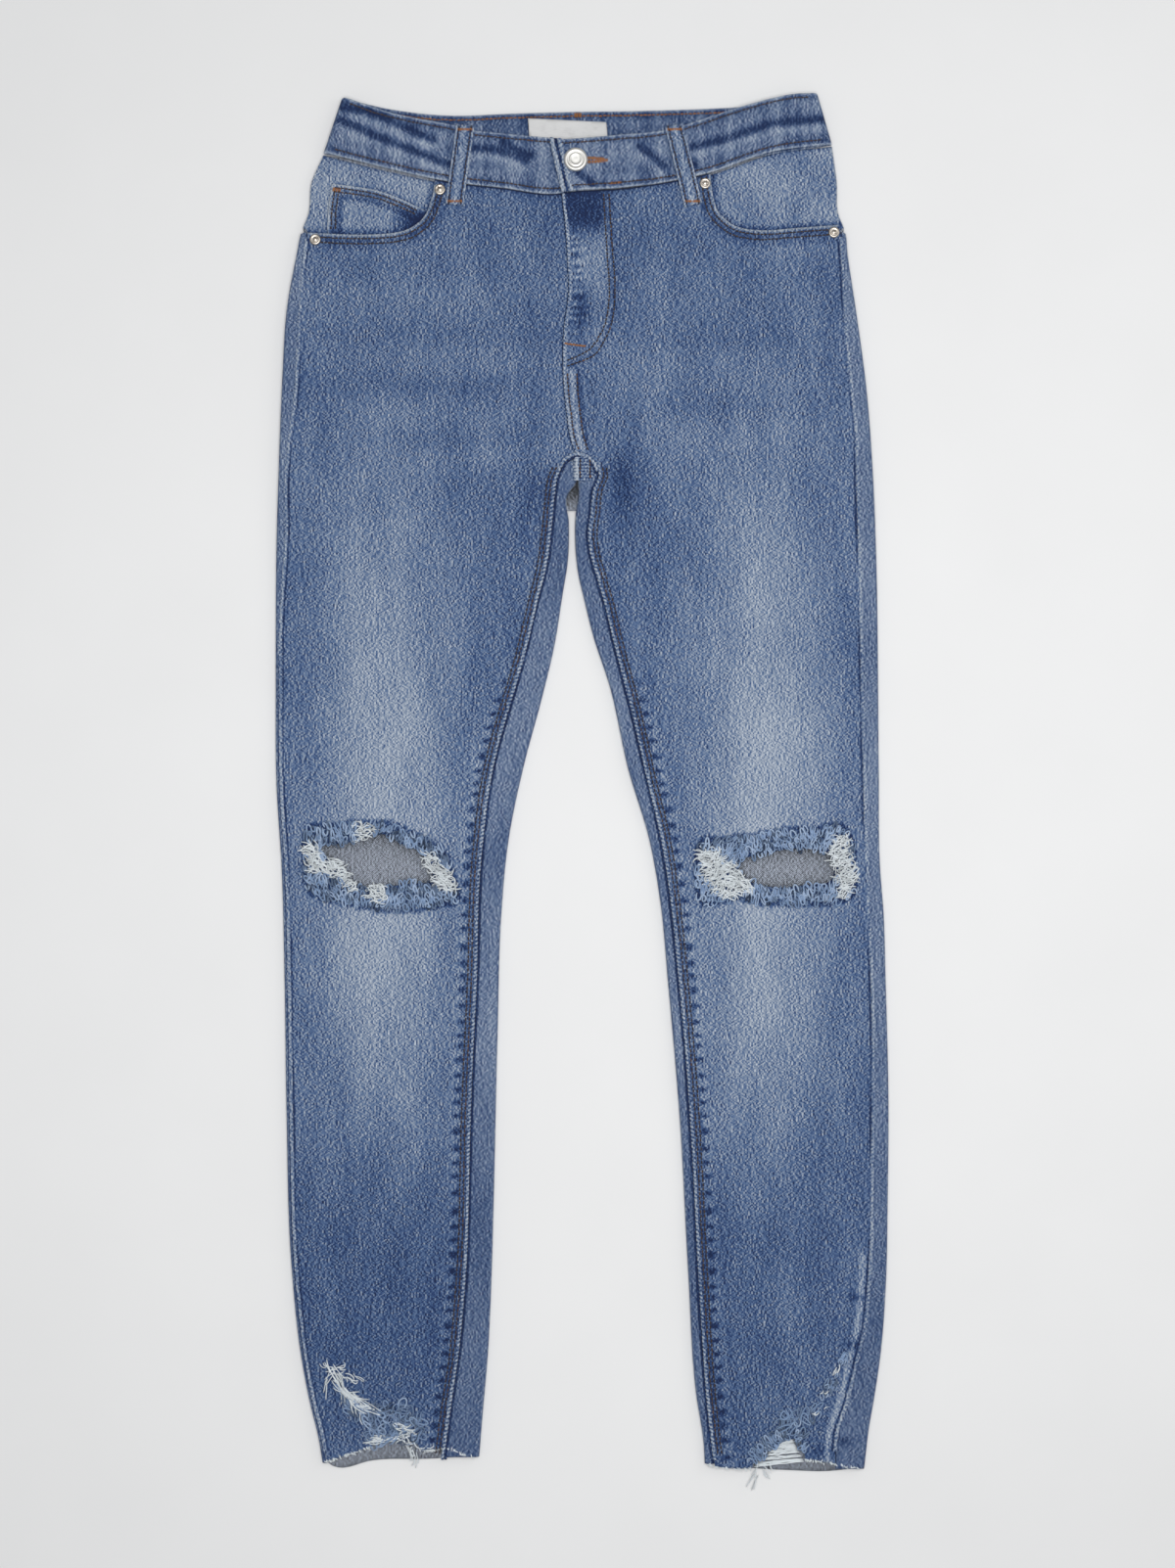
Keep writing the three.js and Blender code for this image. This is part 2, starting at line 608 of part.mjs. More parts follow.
const backLoops = { centre: [CENTRE_X, 480], right: [-110, 478], left: [106, 482] };
function backLoop([x, y]) {
  const half = LOOP_WIDTH / 2;
  const foot = y - LOOP_LENGTH;
  return sheet(points([[x - half, foot], [x + half, foot], [x + half, y], [x - half, y]]), 0, CLOTH);
}

// ---- Back pockets: a pentagon, top corners first, leaning with the yoke seam ----
const backPocketShape = [[-64, 0], [64, 0], [57, -100], [0, -126], [-57, -100]];
const backPockets = { right: { x: -101, y: 366, lean: -0.13 }, left: { x: 96, y: 366, lean: 0.13 } };
function backPocket({ x, y, lean }) {
  const middle = new THREE.Vector2();
  const corners = points(backPocketShape).map((p) => p.rotateAround(middle, lean).add({ x, y }));
  return sheet(corners, 0, CLOTH);
}

// ---- Hardware ----
const turned = (profile, sides, x, y, z) => {
  const geometry = new THREE.LatheGeometry(points(profile), sides);
  geometry.rotateX(Math.PI / 2);
  geometry.translate(x, y, z);
  return solidOf(geometry);
};
const bandTop = BAND_FRONT + BAND / 2;
const lapTop = bandTop + LAP_RISE;
const capBase = lapTop - bandTop; // height of the shank below the cap's underside
const BUTTON_SIDES = 28;
const RIVET_SIDES = 16;
// A shank under a cap whose rim stands up round a flat middle.
function buttonSolid() {
  const r = BUTTON_RADIUS;
  const profile = [
    [0, 0], [SHANK_RADIUS, 0], [SHANK_RADIUS, capBase + SEAM_GAP], [r - 1, capBase + SEAM_GAP], [r, capBase + 1.2],
    [r - 0.5, capBase + 2.4], [r - 1.6, capBase + 2.9], [r - 2.7, capBase + 2.3], [0, capBase + 2.1],
  ];
  return turned(profile, BUTTON_SIDES, button.x, button.y, bandTop + SEAM_GAP);
}
const rivets = {
  right_top: [-101.2, 424],
  right_side: [-190.2, 388.2],
  left_top: [88.2, 428.4],
  left_side: [180.2, 393.4],
};
// A domed head with a dimple in its middle.
function rivet([x, y]) {
  const r = RIVET_RADIUS;
  const profile = [
    [0, 0], [r, 0], [r, 0.5], [r * 0.82, 1.05], [r * 0.5, 1.2], [r * 0.42, 0.9], [0, 1],
  ];
  return turned(profile, RIVET_SIDES, x, y, FRONT_TOP + SEAM_GAP);
}

const zipTape = [[-28, 322], [4, 322], [6, 419], [-28, 419]];
const zipSlider = [[-15, 404], [-7, 404], [-7, 416], [-15, 416]];
const SLIDER_DROP = 0.6;
// The closed zip: its tape, and the slider at the top as one block.
function zip() {
  const z = SEAT_FRONT - STEP - SEAM_GAP;
  return sheet(points(zipTape), z, CLOTH).add(sheet(points(zipSlider), z - SLIDER_DROP, CLOTH));
}

const label = [[-38.5, 475.8], [-37, 456], [19, 454], [17.8, 473]];

// ---- The jeans ----
const legs = { right, left };
for (const [name, leg] of Object.entries(legs)) {
  const rip = cutter(round(rips[name], RIP_STEPS));
  const front = frontPanel(leg)
    .subtract(pocketMouth(mouths[name]))
    .subtract(rip)
    .subtract(cutter(points(hemTears[name])));
  add("front_" + name, front, denim);
  add("back_" + name, backPanel(leg), denim);
  add("yoke_" + name, yoke(leg), denim);
  const fringe = sheet(round(fringes[name], FRINGE_STEPS), LEG_TOP + SEAM_GAP, FRAY_HEIGHT);
  add("knee_fray_" + name, fringe.subtract(rip), frayedThread);
  const fray = sheet(points(hemFrays[name]), LEG_TOP + SEAM_GAP, HEM_FRAY_HEIGHT);
  add("hem_fray_" + name, fray, frayedThread);
  add("pocket_facing_" + name, pocketFacing(leg, facings[name]), denim);
  add("loop_front_" + name, frontLoop(frontLoops[name]), denim);
  add("back_pocket_" + name, backPocket(backPockets[name]), denim);
}
add("coin_pocket", sheet(coinPocketOutline, SEAT_FRONT - STEP, CLOTH), denim);
add("waistband_right", waistband(right, bands.right, 0), fadedDenim);
add("waistband_left", waistband(left, bands.left, LAP_RISE).subtract(buttonhole()), fadedDenim);
for (const [name, place] of Object.entries(backLoops)) add("loop_back_" + name, backLoop(place), denim);
add("label", sheet(points(label), STEP + BAND + SEAM_GAP, LABEL_THICKNESS), satin);
add("fly_zip", zip(), brass);
add("button", buttonSolid(), nickel);
for (const [name, place] of Object.entries(rivets)) add("rivet_" + name, rivet(place), copper);

// The origin is under the middle of the jeans, on the surface.
const box = new THREE.Box3().setFromObject(jeans);
const middle = box.getCenter(new THREE.Vector3());
jeans.position.set(-middle.x, -middle.y, 0);

export default jeans;
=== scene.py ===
"""Ripped skinny jeans laid flat, front up: the cloth, stitching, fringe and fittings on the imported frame.

Drafting sizes are millimetres: X from the wearer's right (-) to left (+), Y from hems (-) to waist (+), Z up.
They turn into the frame's metres in one place, lay().
"""

import bpy
import numpy as np
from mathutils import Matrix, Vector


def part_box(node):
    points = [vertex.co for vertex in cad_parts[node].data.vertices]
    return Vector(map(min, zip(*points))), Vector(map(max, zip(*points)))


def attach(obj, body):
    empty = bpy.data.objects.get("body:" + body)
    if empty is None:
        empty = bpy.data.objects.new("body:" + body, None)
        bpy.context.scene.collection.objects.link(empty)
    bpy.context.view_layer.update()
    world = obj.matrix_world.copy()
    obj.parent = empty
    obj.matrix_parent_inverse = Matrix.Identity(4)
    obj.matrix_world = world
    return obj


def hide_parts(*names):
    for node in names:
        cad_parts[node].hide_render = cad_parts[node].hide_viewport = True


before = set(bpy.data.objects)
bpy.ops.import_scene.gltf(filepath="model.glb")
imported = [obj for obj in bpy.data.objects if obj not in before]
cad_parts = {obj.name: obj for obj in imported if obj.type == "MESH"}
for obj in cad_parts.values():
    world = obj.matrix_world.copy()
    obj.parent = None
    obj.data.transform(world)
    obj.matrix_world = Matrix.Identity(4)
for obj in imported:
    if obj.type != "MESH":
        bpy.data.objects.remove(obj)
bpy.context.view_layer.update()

bl_info = {
    "name": "Ripped jeans",
    "version": (1, 0, 0),
    "blender": (4, 5, 0),
    "location": "View3D > Sidebar > Jeans",
    "description": "Denim, stitching, fringe and fittings of a pair of ripped jeans laid flat",
    "category": "Object",
}

MM = 0.001

# ---- Layer sizes, in millimetres ----
CLOTH = 1.2
BAND = 2.2
STEP = 1.5
CENTRE_X = -2.8
TAIL = 12
ANKLE_Y, HIP_Y = -465, 340
HEM_LEVEL = -490
FRONT_LEVEL_TOP = 421
LEG_TOP_Y, SEAT_Y = 120, 215
SEAT_SEAM_END_Y, CROTCH_Y, FLY_FOOT_Y = 235, 230.5, 234.8
SIDE_OPEN_Y, SIDE_TURNED_Y, SIDE_REACH = 396, 393, 3.4
YOKE_SIDE_Y, YOKE_CENTRE_Y = 408, 372
LEG_FRONT = CLOTH + 3
SEAT_FRONT = STEP + CLOTH + 3.3
BAND_BACK = STEP + BAND / 2
BAND_FRONT = BAND_BACK + BAND + 2
LAP_RISE = 2.5
GAP = 0.3
PUCKER_PITCH = 10.5
INSEAM_ALLOWANCE = 7
MOUTH_HEM = 8
FAR = 50  # no worn edge or painted seam shade near by
ROW_PASSES = 6  # rounds of settling a place between two curved edges
CROTCH_TOP = SEAT_FRONT + CLOTH + 2.2
MOUTH_FOOT = 380  # facings and mouths lie above this
LAP_FLAT_X, LAP_DOWN_X = 28, 46  # the lap is raised up to the first, down from the second
BAND_DEPTH = 38
BAND_STEPS = 150  # sections along the front of the band
LEAST_STRIP = 0.4  # the least flat cloth between a folded edge and its seam
LOOP_WIDTH = 12.6
BUTTON_RADIUS, RIVET_RADIUS = 8.5, 4
ROPE_PITCH = 2.9  # way along a seam ridge for one turn of its swell
UP = np.array([0.0, 0.0, 1.0])


# ---- Curves ----
def edge(pairs):
    """A smooth curve v = f(u): cubic pieces, each point's slope the mean of those round it."""
    u, v = np.array(sorted(pairs), float).T
    slope = np.gradient(v, u)

    def at(w):
        """The value at w, level past either end."""
        w = np.clip(w, u[0], u[-1])
        i = np.clip(np.searchsorted(u, w, side="right") - 1, 0, len(u) - 2)
        h = u[i + 1] - u[i]
        t = (w - u[i]) / h
        a = (1 + 2 * t) * (1 - t) ** 2 * v[i] + t * (1 - t) ** 2 * h * slope[i]
        return a + t**2 * (3 - 2 * t) * v[i + 1] + t**2 * (t - 1) * h * slope[i + 1]

    at.span = (u[0], u[-1])
    return at


def spline(points, count, closed=False):
    """Even points along a smooth curve through the given ones: uniform Catmull-Rom pieces."""
    p = np.array(points, float)
    if closed:
        p = np.vstack([p[-1], p, p[0], p[1]])
    else:
        p = np.vstack([2 * p[0] - p[1], p, 2 * p[-1] - p[-2]])
    u = np.linspace(0, len(p) - 3, count * 6 + 1)
    i = np.minimum(u.astype(int), len(p) - 4)
    t = (u - i)[:, None]
    a, b, c, d = p[i], p[i + 1], p[i + 2], p[i + 3]
    curve = 0.5 * (2 * b + (c - a) * t + (2 * a - 5 * b + 4 * c - d) * t**2 + (3 * b - a - 3 * c + d) * t**3)
    return even(curve, count)


def even(line, count):
    """The same line with its points an even way apart."""
    line = np.asarray(line, float)
    way = np.concatenate([[0], np.cumsum(np.linalg.norm(np.diff(line, axis=0), axis=1))])
    at = np.linspace(0, way[-1], count + 1)
    return np.stack([np.interp(at, way, line[:, k]) for k in range(line.shape[1])], axis=1)


def smooth(value, low, high):
    """0 below the low value, 1 above the high one, an S-shaped cubic between."""
    t = np.clip((value - low) / (high - low), 0, 1)
    return t * t * (3 - 2 * t)


def bell(away, reach):
    """1 at no distance away, falling softly past the reach."""
    return np.exp(-((away / reach) ** 2))


def mix(a, b, t):
    """The place a share t of the way from a to b."""
    return a + (b - a) * t


def places(x, y, z):
    """A grid's places as one list, row after row."""
    return np.stack([x, y, z], axis=-1).reshape(-1, 3)


def square_to(line):
    """The ways across and up at each point of a line, square to it."""
    along = np.gradient(line, axis=0)
    along /= np.linalg.norm(along, axis=1, keepdims=True)
    side = np.cross(along, UP)
    side /= np.linalg.norm(side, axis=1, keepdims=True)
    return side, np.cross(side, along)


def nearest(x, y, line):
    """Distance from each place to a line, and the nearest point on it."""
    line = np.asarray(line, float)
    a, way = line[:-1], np.diff(line, axis=0)
    best = np.full(np.shape(x), np.inf)
    foot_x, foot_y = np.zeros(np.shape(x)), np.zeros(np.shape(x))
    for (ax, ay), (dx, dy) in zip(a, way):
        t = np.clip(((x - ax) * dx + (y - ay) * dy) / max(dx * dx + dy * dy, 1e-9), 0, 1)
        fx, fy = ax + t * dx, ay + t * dy
        d = np.hypot(x - fx, y - fy)
        near = d < best
        best = np.where(near, d, best)
        foot_x, foot_y = np.where(near, fx, foot_x), np.where(near, fy, foot_y)
    return best, foot_x, foot_y


def inside(x, y, loop):
    """Whether each place lies within a closed outline: an odd count of edges crossed going right."""
    loop = np.asarray(loop, float)
    within = np.zeros(np.shape(x), bool)
    for (ax, ay), (bx, by) in zip(loop, np.roll(loop, -1, axis=0)):
        crosses = (ay > y) != (by > y)
        within ^= crosses & (x < (bx - ax) * (y - ay) / (by - ay + 1e-12) + ax)
    return within


# ---- Edges of the pattern pieces as they lie: (y, x), from the hem up ----
class Leg:
    """One leg's edges; inward is the sign of the way from its outseam to its inseam."""

    def __init__(self, inward, outline, outseam, inseam, crease, front_hem, back_hem):
        self.inward = inward
        self.outline, self.outseam = edge(outline), edge(outseam)
        self.inseam, self.crease = edge(inseam), edge(crease)
        self.front_hem, self.back_hem = edge(front_hem), edge(back_hem)


LEGS = {
    "right": Leg(
        1,
        [(-487, -185.5), (-469, -188.5), (-444, -194.6), (-410, -201), (-350, -207.5), (-234, -211.4),
         (-140, -212.8), (-61, -214.9), (0, -218.6), (75, -219.1), (168, -218.5), (218, -217), (290, -214.2),
         (343, -210.5), (378, -204), (396, -200.2), (407, -196), (430, -193.5), (450, -184.8)],
        [(-487, -183), (-410, -198.5), (-350, -205), (-234, -208.9), (-140, -210.3), (-61, -212.2), (0, -216),
         (75, -216.4), (126, -214.8), (177, -211.4), (218, -211.4), (249, -208.6), (280, -204.4), (308, -203),
         (343, -200.9), (372, -198.8), (396, -195.4)],
        [(-483, -99), (-444, -93.8), (-412, -88.9), (-350, -83.3), (-233, -79.8), (-140, -75.6), (-60, -72.8),
         (0, -65.8), (105, -37.8), (132, -31.5), (158, -25.2), (187, -21.7), (207, -19.6), (221, -16.8),
         (229, -12), (232.5, -7.5), (234.8, -3.6)],
        [(-484, -73.5), (-450, -70.7), (-410, -67.2), (-350, -64.4), (-300, -63), (-180, -60.2), (-93, -57.4),
         (-42, -52.5), (13, -41.3), (60, -28.7), (98, -19.6), (136, -13.5), (158, -10), (186, -9.1),
         (207, -9.8), (216, -3.6), (221, CENTRE_X - 0.15)],
        [(-185.5, -486.5), (-170, -481.6), (-151, -475.3), (-129.5, -472.5), (-107, -477.4), (-99, -475.5),
         (-82.6, -480.9), (-73.5, -482.3)],
        [(-185.5, -486.5), (-175, -490.7), (-151, -485.8), (-107, -484.4), (-73.5, -482.3)],
    ),
    "left": Leg(
        -1,
        [(-491, 202.3), (-462, 205.8), (-440, 209.6), (-410, 214), (-357, 218), (-300, 219.2), (-234, 219.8),
         (-140, 217.7), (-94, 216.3), (-60, 213.7), (10, 212.8), (168, 210.7), (218, 208.6), (283, 203.7),
         (343, 195.6), (378, 190.4), (396, 188.3), (407, 184), (430, 182.7), (456.4, 179.2)],
        [(-491, 181.3), (-462, 183.4), (-444, 189.7), (-418, 196), (-388, 203), (-357, 206), (-273, 208.3),
         (-140, 208), (-80, 205.1), (-8, 203), (115, 200.2), (177, 198.8), (218, 197.4), (249, 196.7),
         (296, 191.8), (344, 188.3), (381, 186.2), (396, 185)],
        [(-489, 95.2), (-437, 89.6), (-350, 84), (-233, 77.7), (-140, 70), (-93, 65.1), (-40, 57.4), (7, 46.2),
         (54, 35.7), (105, 22.4), (126, 17.5), (146, 11.9), (167, 6.3), (179, 5.2), (193, 7), (208, 8.4),
         (222, 12.6), (229, 9.5), (232.5, 5), (234.8, -1.4)],
        [(-489, 88.2), (-475, 87.5), (-437, 81.9), (-350, 76.3), (-237, 70), (-140, 61.6), (-88, 56.7),
         (-40, 48.3), (9, 33.6), (71, 19.6), (105, 8.4), (133, 1.4), (150, -2.5), (172, -4.6), (193, -4.2),
         (207, -2.1), (216, CENTRE_X + 0.3), (221, CENTRE_X + 0.15)],
        [(88.2, -487.2), (109.9, -490.7), (124.6, -490), (158.9, -484.4), (181.3, -487.2), (202.3, -490.7)],
        [(88.2, -487.2), (124.6, -491.4), (152.6, -492.8), (171.5, -493.5), (202.3, -490.7)],
    ),
}
centre_front = edge([(234.8, -3.5), (244, -7), (265, -10.5), (295, -13), (323, -12.6), (352, -9.1), (374, -9.8),
                     (396, -11.2), (421, -14)])
waist_seam = edge([(-184.8, 450.1), (-140, 439), (-95.9, 429.8), (-60, 425.6), (-14.7, 421.6), (-9.8, 422.4),
                   (28.7, 424.9), (67.2, 430.5), (90.3, 435.4), (140, 451.5), (179.2, 456.4)])
back_waist_seam = edge([(-184.8, 450.1), (-95.9, 439.4), (CENTRE_X, 441.5), (47.6, 442), (116.2, 447),
                        (179.2, 456.4)])

MOUTHS = {
    "right": [(-104.6, 434), (-105.7, 424.2), (-107.4, 417), (-112, 405.3), (-120.4, 397.6), (-131, 393.6),
              (-148.4, 392), (-170, 392), (-203, 393.6)],
    "left": [(91.4, 438), (92.6, 428.4), (94.3, 417), (98.7, 406.7), (108.5, 398.6), (119, 395.6), (133, 394.9),
             (154.7, 396.6), (192, 399.4)],
}
COIN_TOP = [(-178.5, 428.4), (-171.5, 427.7), (-148.4, 424.2), (-131.6, 418.6), (-112, 409.5)]
RIPS = {
    "right": [(-189, -46.9), (-166, -42.5), (-143, -36.4), (-128, -44), (-115, -49.5), (-108, -62.3),
              (-106, -70.5), (-122.5, -72.1), (-148.4, -74.9), (-163, -73), (-171, -61.5)],
    "left": [(111.3, -56.7), (124, -52), (152.6, -46.9), (175.7, -50.4), (180.6, -62), (177, -71), (159.6, -73),
             (142.1, -74.9), (121, -71)],
}
FRINGES = {
    "right": [(-197.4, -31), (-180, -28.5), (-147, -25.9), (-130, -29.5), (-98.7, -46.2), (-90.5, -66),
              (-86.8, -84.5), (-105, -90.3), (-130, -93.5), (-158.9, -90.3), (-182, -84.5), (-197.4, -77),
              (-200.5, -54)],
    "left": [(83.3, -40.5), (107, -37.1), (140, -32.5), (166, -30.1), (190, -31), (197, -56), (194, -82.6),
             (166, -88.2), (133.7, -88.9), (110, -84.4), (86, -89), (80.5, -65)],
}
WHITE_PATCHES = {
    "right": [
        [(-197.6, -43.6), (-189.6, -44.3), (-187.6, -53), (-180.2, -57), (-174.9, -53.6), (-170.9, -61),
         (-166.2, -65), (-161.5, -74.4), (-164.2, -78.4), (-169.5, -71.7), (-176.2, -67.7), (-182.9, -64.3),
         (-193.6, -63.7), (-195.9, -55.6)],
        [(-112.6, -50.3), (-105.2, -51.6), (-99.9, -58.3), (-92.5, -66.4), (-90.5, -74.4), (-98.5, -77.1),
         (-104.6, -73.1), (-105.2, -66.4), (-109.9, -61)],
        [(-156.1, -79.7), (-149.4, -73.7), (-141.4, -73.1), (-140.1, -82.4), (-148.1, -85.1), (-153.4, -82.4)],
        [(-164.2, -28.2), (-153.4, -30.2), (-148.1, -31.5), (-154.8, -39.6), (-161.5, -40.9), (-158.8, -34.2)],
    ],
    "left": [
        [(83.8, -48.3), (97.8, -48.3), (99.2, -54.3), (109.9, -59), (112.6, -63.7), (121.3, -71.7),
         (120.6, -78.4), (112.6, -80.4), (104.5, -81.8), (96.5, -78.4), (89.8, -70.4), (85.8, -61)],
        [(178.2, -44.9), (183.5, -38.2), (190.2, -39.6), (191.6, -51.6), (194.9, -61), (195.6, -71.7),
         (190.2, -74.4), (190.2, -82.4), (184.9, -82.4), (183.5, -71.7), (180.9, -61), (176.8, -51.6)],
    ],
}
HEM_TEARS = {
    "right": [(-148.4, -480), (-149.8, -473), (-138, -470.5), (-128, -470), (-118, -472), (-113.5, -480)],
    "left": [(119, -495), (124.6, -484.4), (146, -470), (156, -469), (159, -478), (161, -492)],
}
BANDS = {
    "right": {
        "end": [(12.6, 458.5), (12.6, 421.5)],
        "top": [(-23.1, 461.3), (-77, 466.2), (-90.3, 469.7), (-137.2, 478.8)],
        "corner": [(-171.5, 490), (-184.8, 450.1)],
        "back": [(-137.2, 482.3), (-95.9, 478.1), (-49, 479.6)],
        "centre": (CENTRE_X - GAP / 2, 480.9),
    },
    "left": {
        "end": [(-22.4, 461.3), (-13.3, 421.8)],
        "top": [(-9.8, 459.9), (47.6, 464.8), (72.8, 469.7), (119, 484.4), (150, 492)],
        "corner": [(168.5, 493.4), (179.2, 456.4)],
        "back": [(150, 490.5), (116.2, 484.4), (47.6, 481.6)],
        "centre": (CENTRE_X + GAP / 2, 480.9),
    },
}
BUTTON = np.array([-4.2, 444.5])
LOOPS_FRONT = {"right": [(-82.9, 469.5), (-90.8, 413)], "left": [(65.8, 469.5), (79.8, 413)]}
LOOPS_BACK = {"centre": (CENTRE_X, 480), "right": (-110, 478), "left": (106, 482)}
BACK_POCKETS = {"right": (-101, 366, -0.13), "left": (96, 366, 0.13)}
POCKET_SHAPE = [(-64, 0), (64, 0), (57, -100), (0, -126), (-57, -100)]
LABEL = [(-38.5, 475.8), (-37, 456), (19, 454), (17.8, 473)]
FLY_OUTER = [(19.6, 421.4), (21.8, 385), (23.8, 352.1), (21.7, 329.7), (15, 314), (7, 304.5), (-10.5, 298)]
FLY_INNER = [(15.6, 421.4), (17.8, 385), (19.8, 352.1), (17.6, 331), (11.6, 317.5), (4, 308.6), (-10.5, 302)]
CROTCH_ARCH = [(-16.2, 224), (-13, 230), (-9, 233.2), (-4, 235), (1, 234.4), (5.5, 232), (9.3, 228), (11.6, 223)]
# Folds the hand would find: the line each follows, its half width and its height.
FOLDS = [
    ([(12.6, 251), (20, 228), (29, 204), (31, 180)], 5.5, -1.5),
    ([(21, 252), (30, 228), (38, 205)], 7, 1),
    ([(-37, 236), (-42, 214), (-45, 196)], 8, -1.2),
    ([(-50, 240), (-55, 214), (-57, 190)], 9, 0.8),
    ([(-113, 112), (-112, 40), (-114, -28)], 7, -0.7),
    ([(-150, 130), (-155, 60), (-152, -20)], 14, 0.8),
    ([(-97, -98), (-96, -140), (-99, -180)], 8, -0.9),
    ([(-150, -110), (-147, -170), (-150, -240)], 18, 0.8),
    ([(-178, 30), (-180, -10), (-172, -30)], 7, -0.6),
    ([(98, 120), (108, 40), (112, -20)], 12, 0.7),
    ([(180, -95), (184, -150), (182, -190)], 9, -0.8),
    ([(140, -100), (138, -180), (142, -260)], 16, 0.7),
    ([(-170, 356), (-110, 343), (-60, 346)], 9, -0.45),
    ([(-175, 322), (-100, 318), (-40, 322)], 10, -0.45),
    ([(-150, 268), (-90, 258), (-40, 262)], 11, -0.4),
    ([(-170, 225), (-110, 221), (-60, 226)], 12, -0.4),
    ([(50, 362), (100, 356), (160, 366)], 9, -0.45),
    ([(40, 318), (100, 330), (165, 322)], 11, -0.5),
    ([(40, 270), (100, 262), (160, 275)], 11, -0.4),
    ([(70, 215), (120, 222), (170, 216)], 12, -0.4),
    ([(-130, -330), (-125, -380), (-132, -430)], 16, 0.6),
    ([(150, -330), (148, -390), (152, -440)], 16, 0.6),
    ([(-205, -120), (-190, -100), (-165, -95)], 6, -0.5),
    ([(200, -20), (185, -10), (160, -12)], 6, -0.4),
]
BAND_CREASES = [
    [(-173, 483.5), (-152.6, 479.8), (-122.5, 467), (-106.4, 460)],
    [(-174, 475), (-143.5, 461), (-120, 452), (-95.2, 442)],
    [(-76.3, 454), (-60.2, 452.5), (-39.4, 444.7)],
    [(-56, 458), (-44, 451), (-36, 449)],
    [(-2.8, 436), (8, 428)],
    [(41, 455), (50, 449), (58, 441)],
    [(74, 450), (82, 441)],
    [(73.5, 453), (101.2, 460), (135.8, 471.5), (172.9, 474.5)],
]
# Where the colour has worn light or stayed dark, and painted shade in two fold valleys by the fly:
# place, reach across and along, and how much.
FADE_AND_SHADE_PATCHES = [
    ((-143, 20), (46, 190), 0.28), ((-140, -95), (52, 105), 0.1), ((-140, -180), (42, 90), 0.1),
    ((130, 40), (46, 190), 0.28), ((132, -60), (52, 100), 0.1), ((128, -180), (42, 95), 0.14),
    ((-12, -330), (400, 60), -0.05), ((-12, -430), (400, 110), -0.1), ((2, 410), (17, 15), -0.2),
    ((146, -400), (44, 70), 0.09),
    ((0, 340), (7, 16), -0.26), ((13, 368), (8, 26), 0.16), ((2, 372), (5, 20), 0.14), ((14, 318), (9, 12), 0.12),
    ((-70, 300), (50, 12), 0.06), ((-110, 262), (60, 13), 0.05), ((-60, 232), (60, 12), 0.06),
    ((90, 300), (50, 14), 0.05), ((80, 245), (60, 14), 0.06), ((-100, 350), (60, 10), 0.05),
    ((-100, 285), (70, 9), -0.06), ((-110, 322), (70, 8), -0.05), ((-100, 246), (60, 7), -0.04),
    ((100, 318), (60, 8), -0.05), ((100, 270), (70, 9), -0.05), ((55, 390), (35, 20), -0.06),
    # the patches at (30, 215) and (-35, 205) are painted shade in fold valleys
    ((-150, 385), (40, 8), 0.05), ((150, 384), (40, 8), 0.05), ((30, 215), (12, 34), -0.22),
    ((-35, 205), (14, 30), -0.12), ((-40, 130), (30, 60), -0.03), ((197, -368), (5, 2.5), -0.34),
    ((195, -402), (5, 3), -0.34), ((-148, 408), (26, 18), 0.26),
    ((-150, 428), (40, 12), 0.1), ((130, 410), (50, 26), 0.1), ((60, 290), (50, 90), 0.04),
    ((188, -471), (6, 3), -0.3), ((175, -478), (8, 4), -0.15),
]


# ---- The frame ----
button_low, button_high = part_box("button")
SHIFT = (np.array(button_low)[:2] + np.array(button_high)[:2]) / 2 / MM - BUTTON


def lay(points):
    """Drafting millimetres to the frame's metres."""
    placed = np.array(points, float)
    placed[..., 0] += SHIFT[0]
    placed[..., 1] += SHIFT[1]
    return placed * MM


# ---- Heights ----
def seat_share(y):
    """0 on the legs and 1 on the seat, where there are more layers below."""
    return smooth(y, LEG_TOP_Y, SEAT_Y)


def lower_mid(y):
    """Height of the middle of the back's wall."""
    return CLOTH / 2 + STEP * seat_share(y)


def upper_mid(y):
    """Height of the middle of the front's wall."""
    return CLOTH / 2 + mix(LEG_FRONT, SEAT_FRONT, seat_share(y))


def fold_lift(x, y):
    """How far the folds lift or dip the front: a bell across each fold's line, and slow waves."""
    lift = np.zeros(np.broadcast(x, y).shape)
    for line, reach, height in FOLDS:
        lift = lift + height * bell(nearest(x, y, spline(line, 8))[0], reach)
    waves = 0.16 * np.sin(x / 17 + 1.3 * np.sin(y / 61)) * np.sin(y / 29 + 0.8)
    waves = waves + 0.12 * np.sin(x / 9.1 - y / 33 + 2.1) + 0.1 * np.sin(y / 13.7 + x / 51)
    return lift + waves


def mouth_distance(name, x, y):
    """Distance from the edge of a pocket's mouth."""
    return nearest(x, y, spline(MOUTHS[name], 30))[0]


def rip_edge(name):
    """The closed outline of a knee rip."""
    return spline(RIPS[name], 48, closed=True)


def inseam_distance(leg, x, y):
    """Way from the inseam, towards the outseam."""
    return (leg.inseam(y) - x) * leg.inward


def pucker(y):
    """1 in the middle of a gather beside the inseam's stitching, 0 between gathers."""
    phase = y / PUCKER_PITCH + 0.23 * np.sin(y / 31) + 0.11 * np.sin(y / 7.3)
    return smooth(np.cos(2 * np.pi * phase), 0.25, 0.95) * smooth(-y, -95, -45)


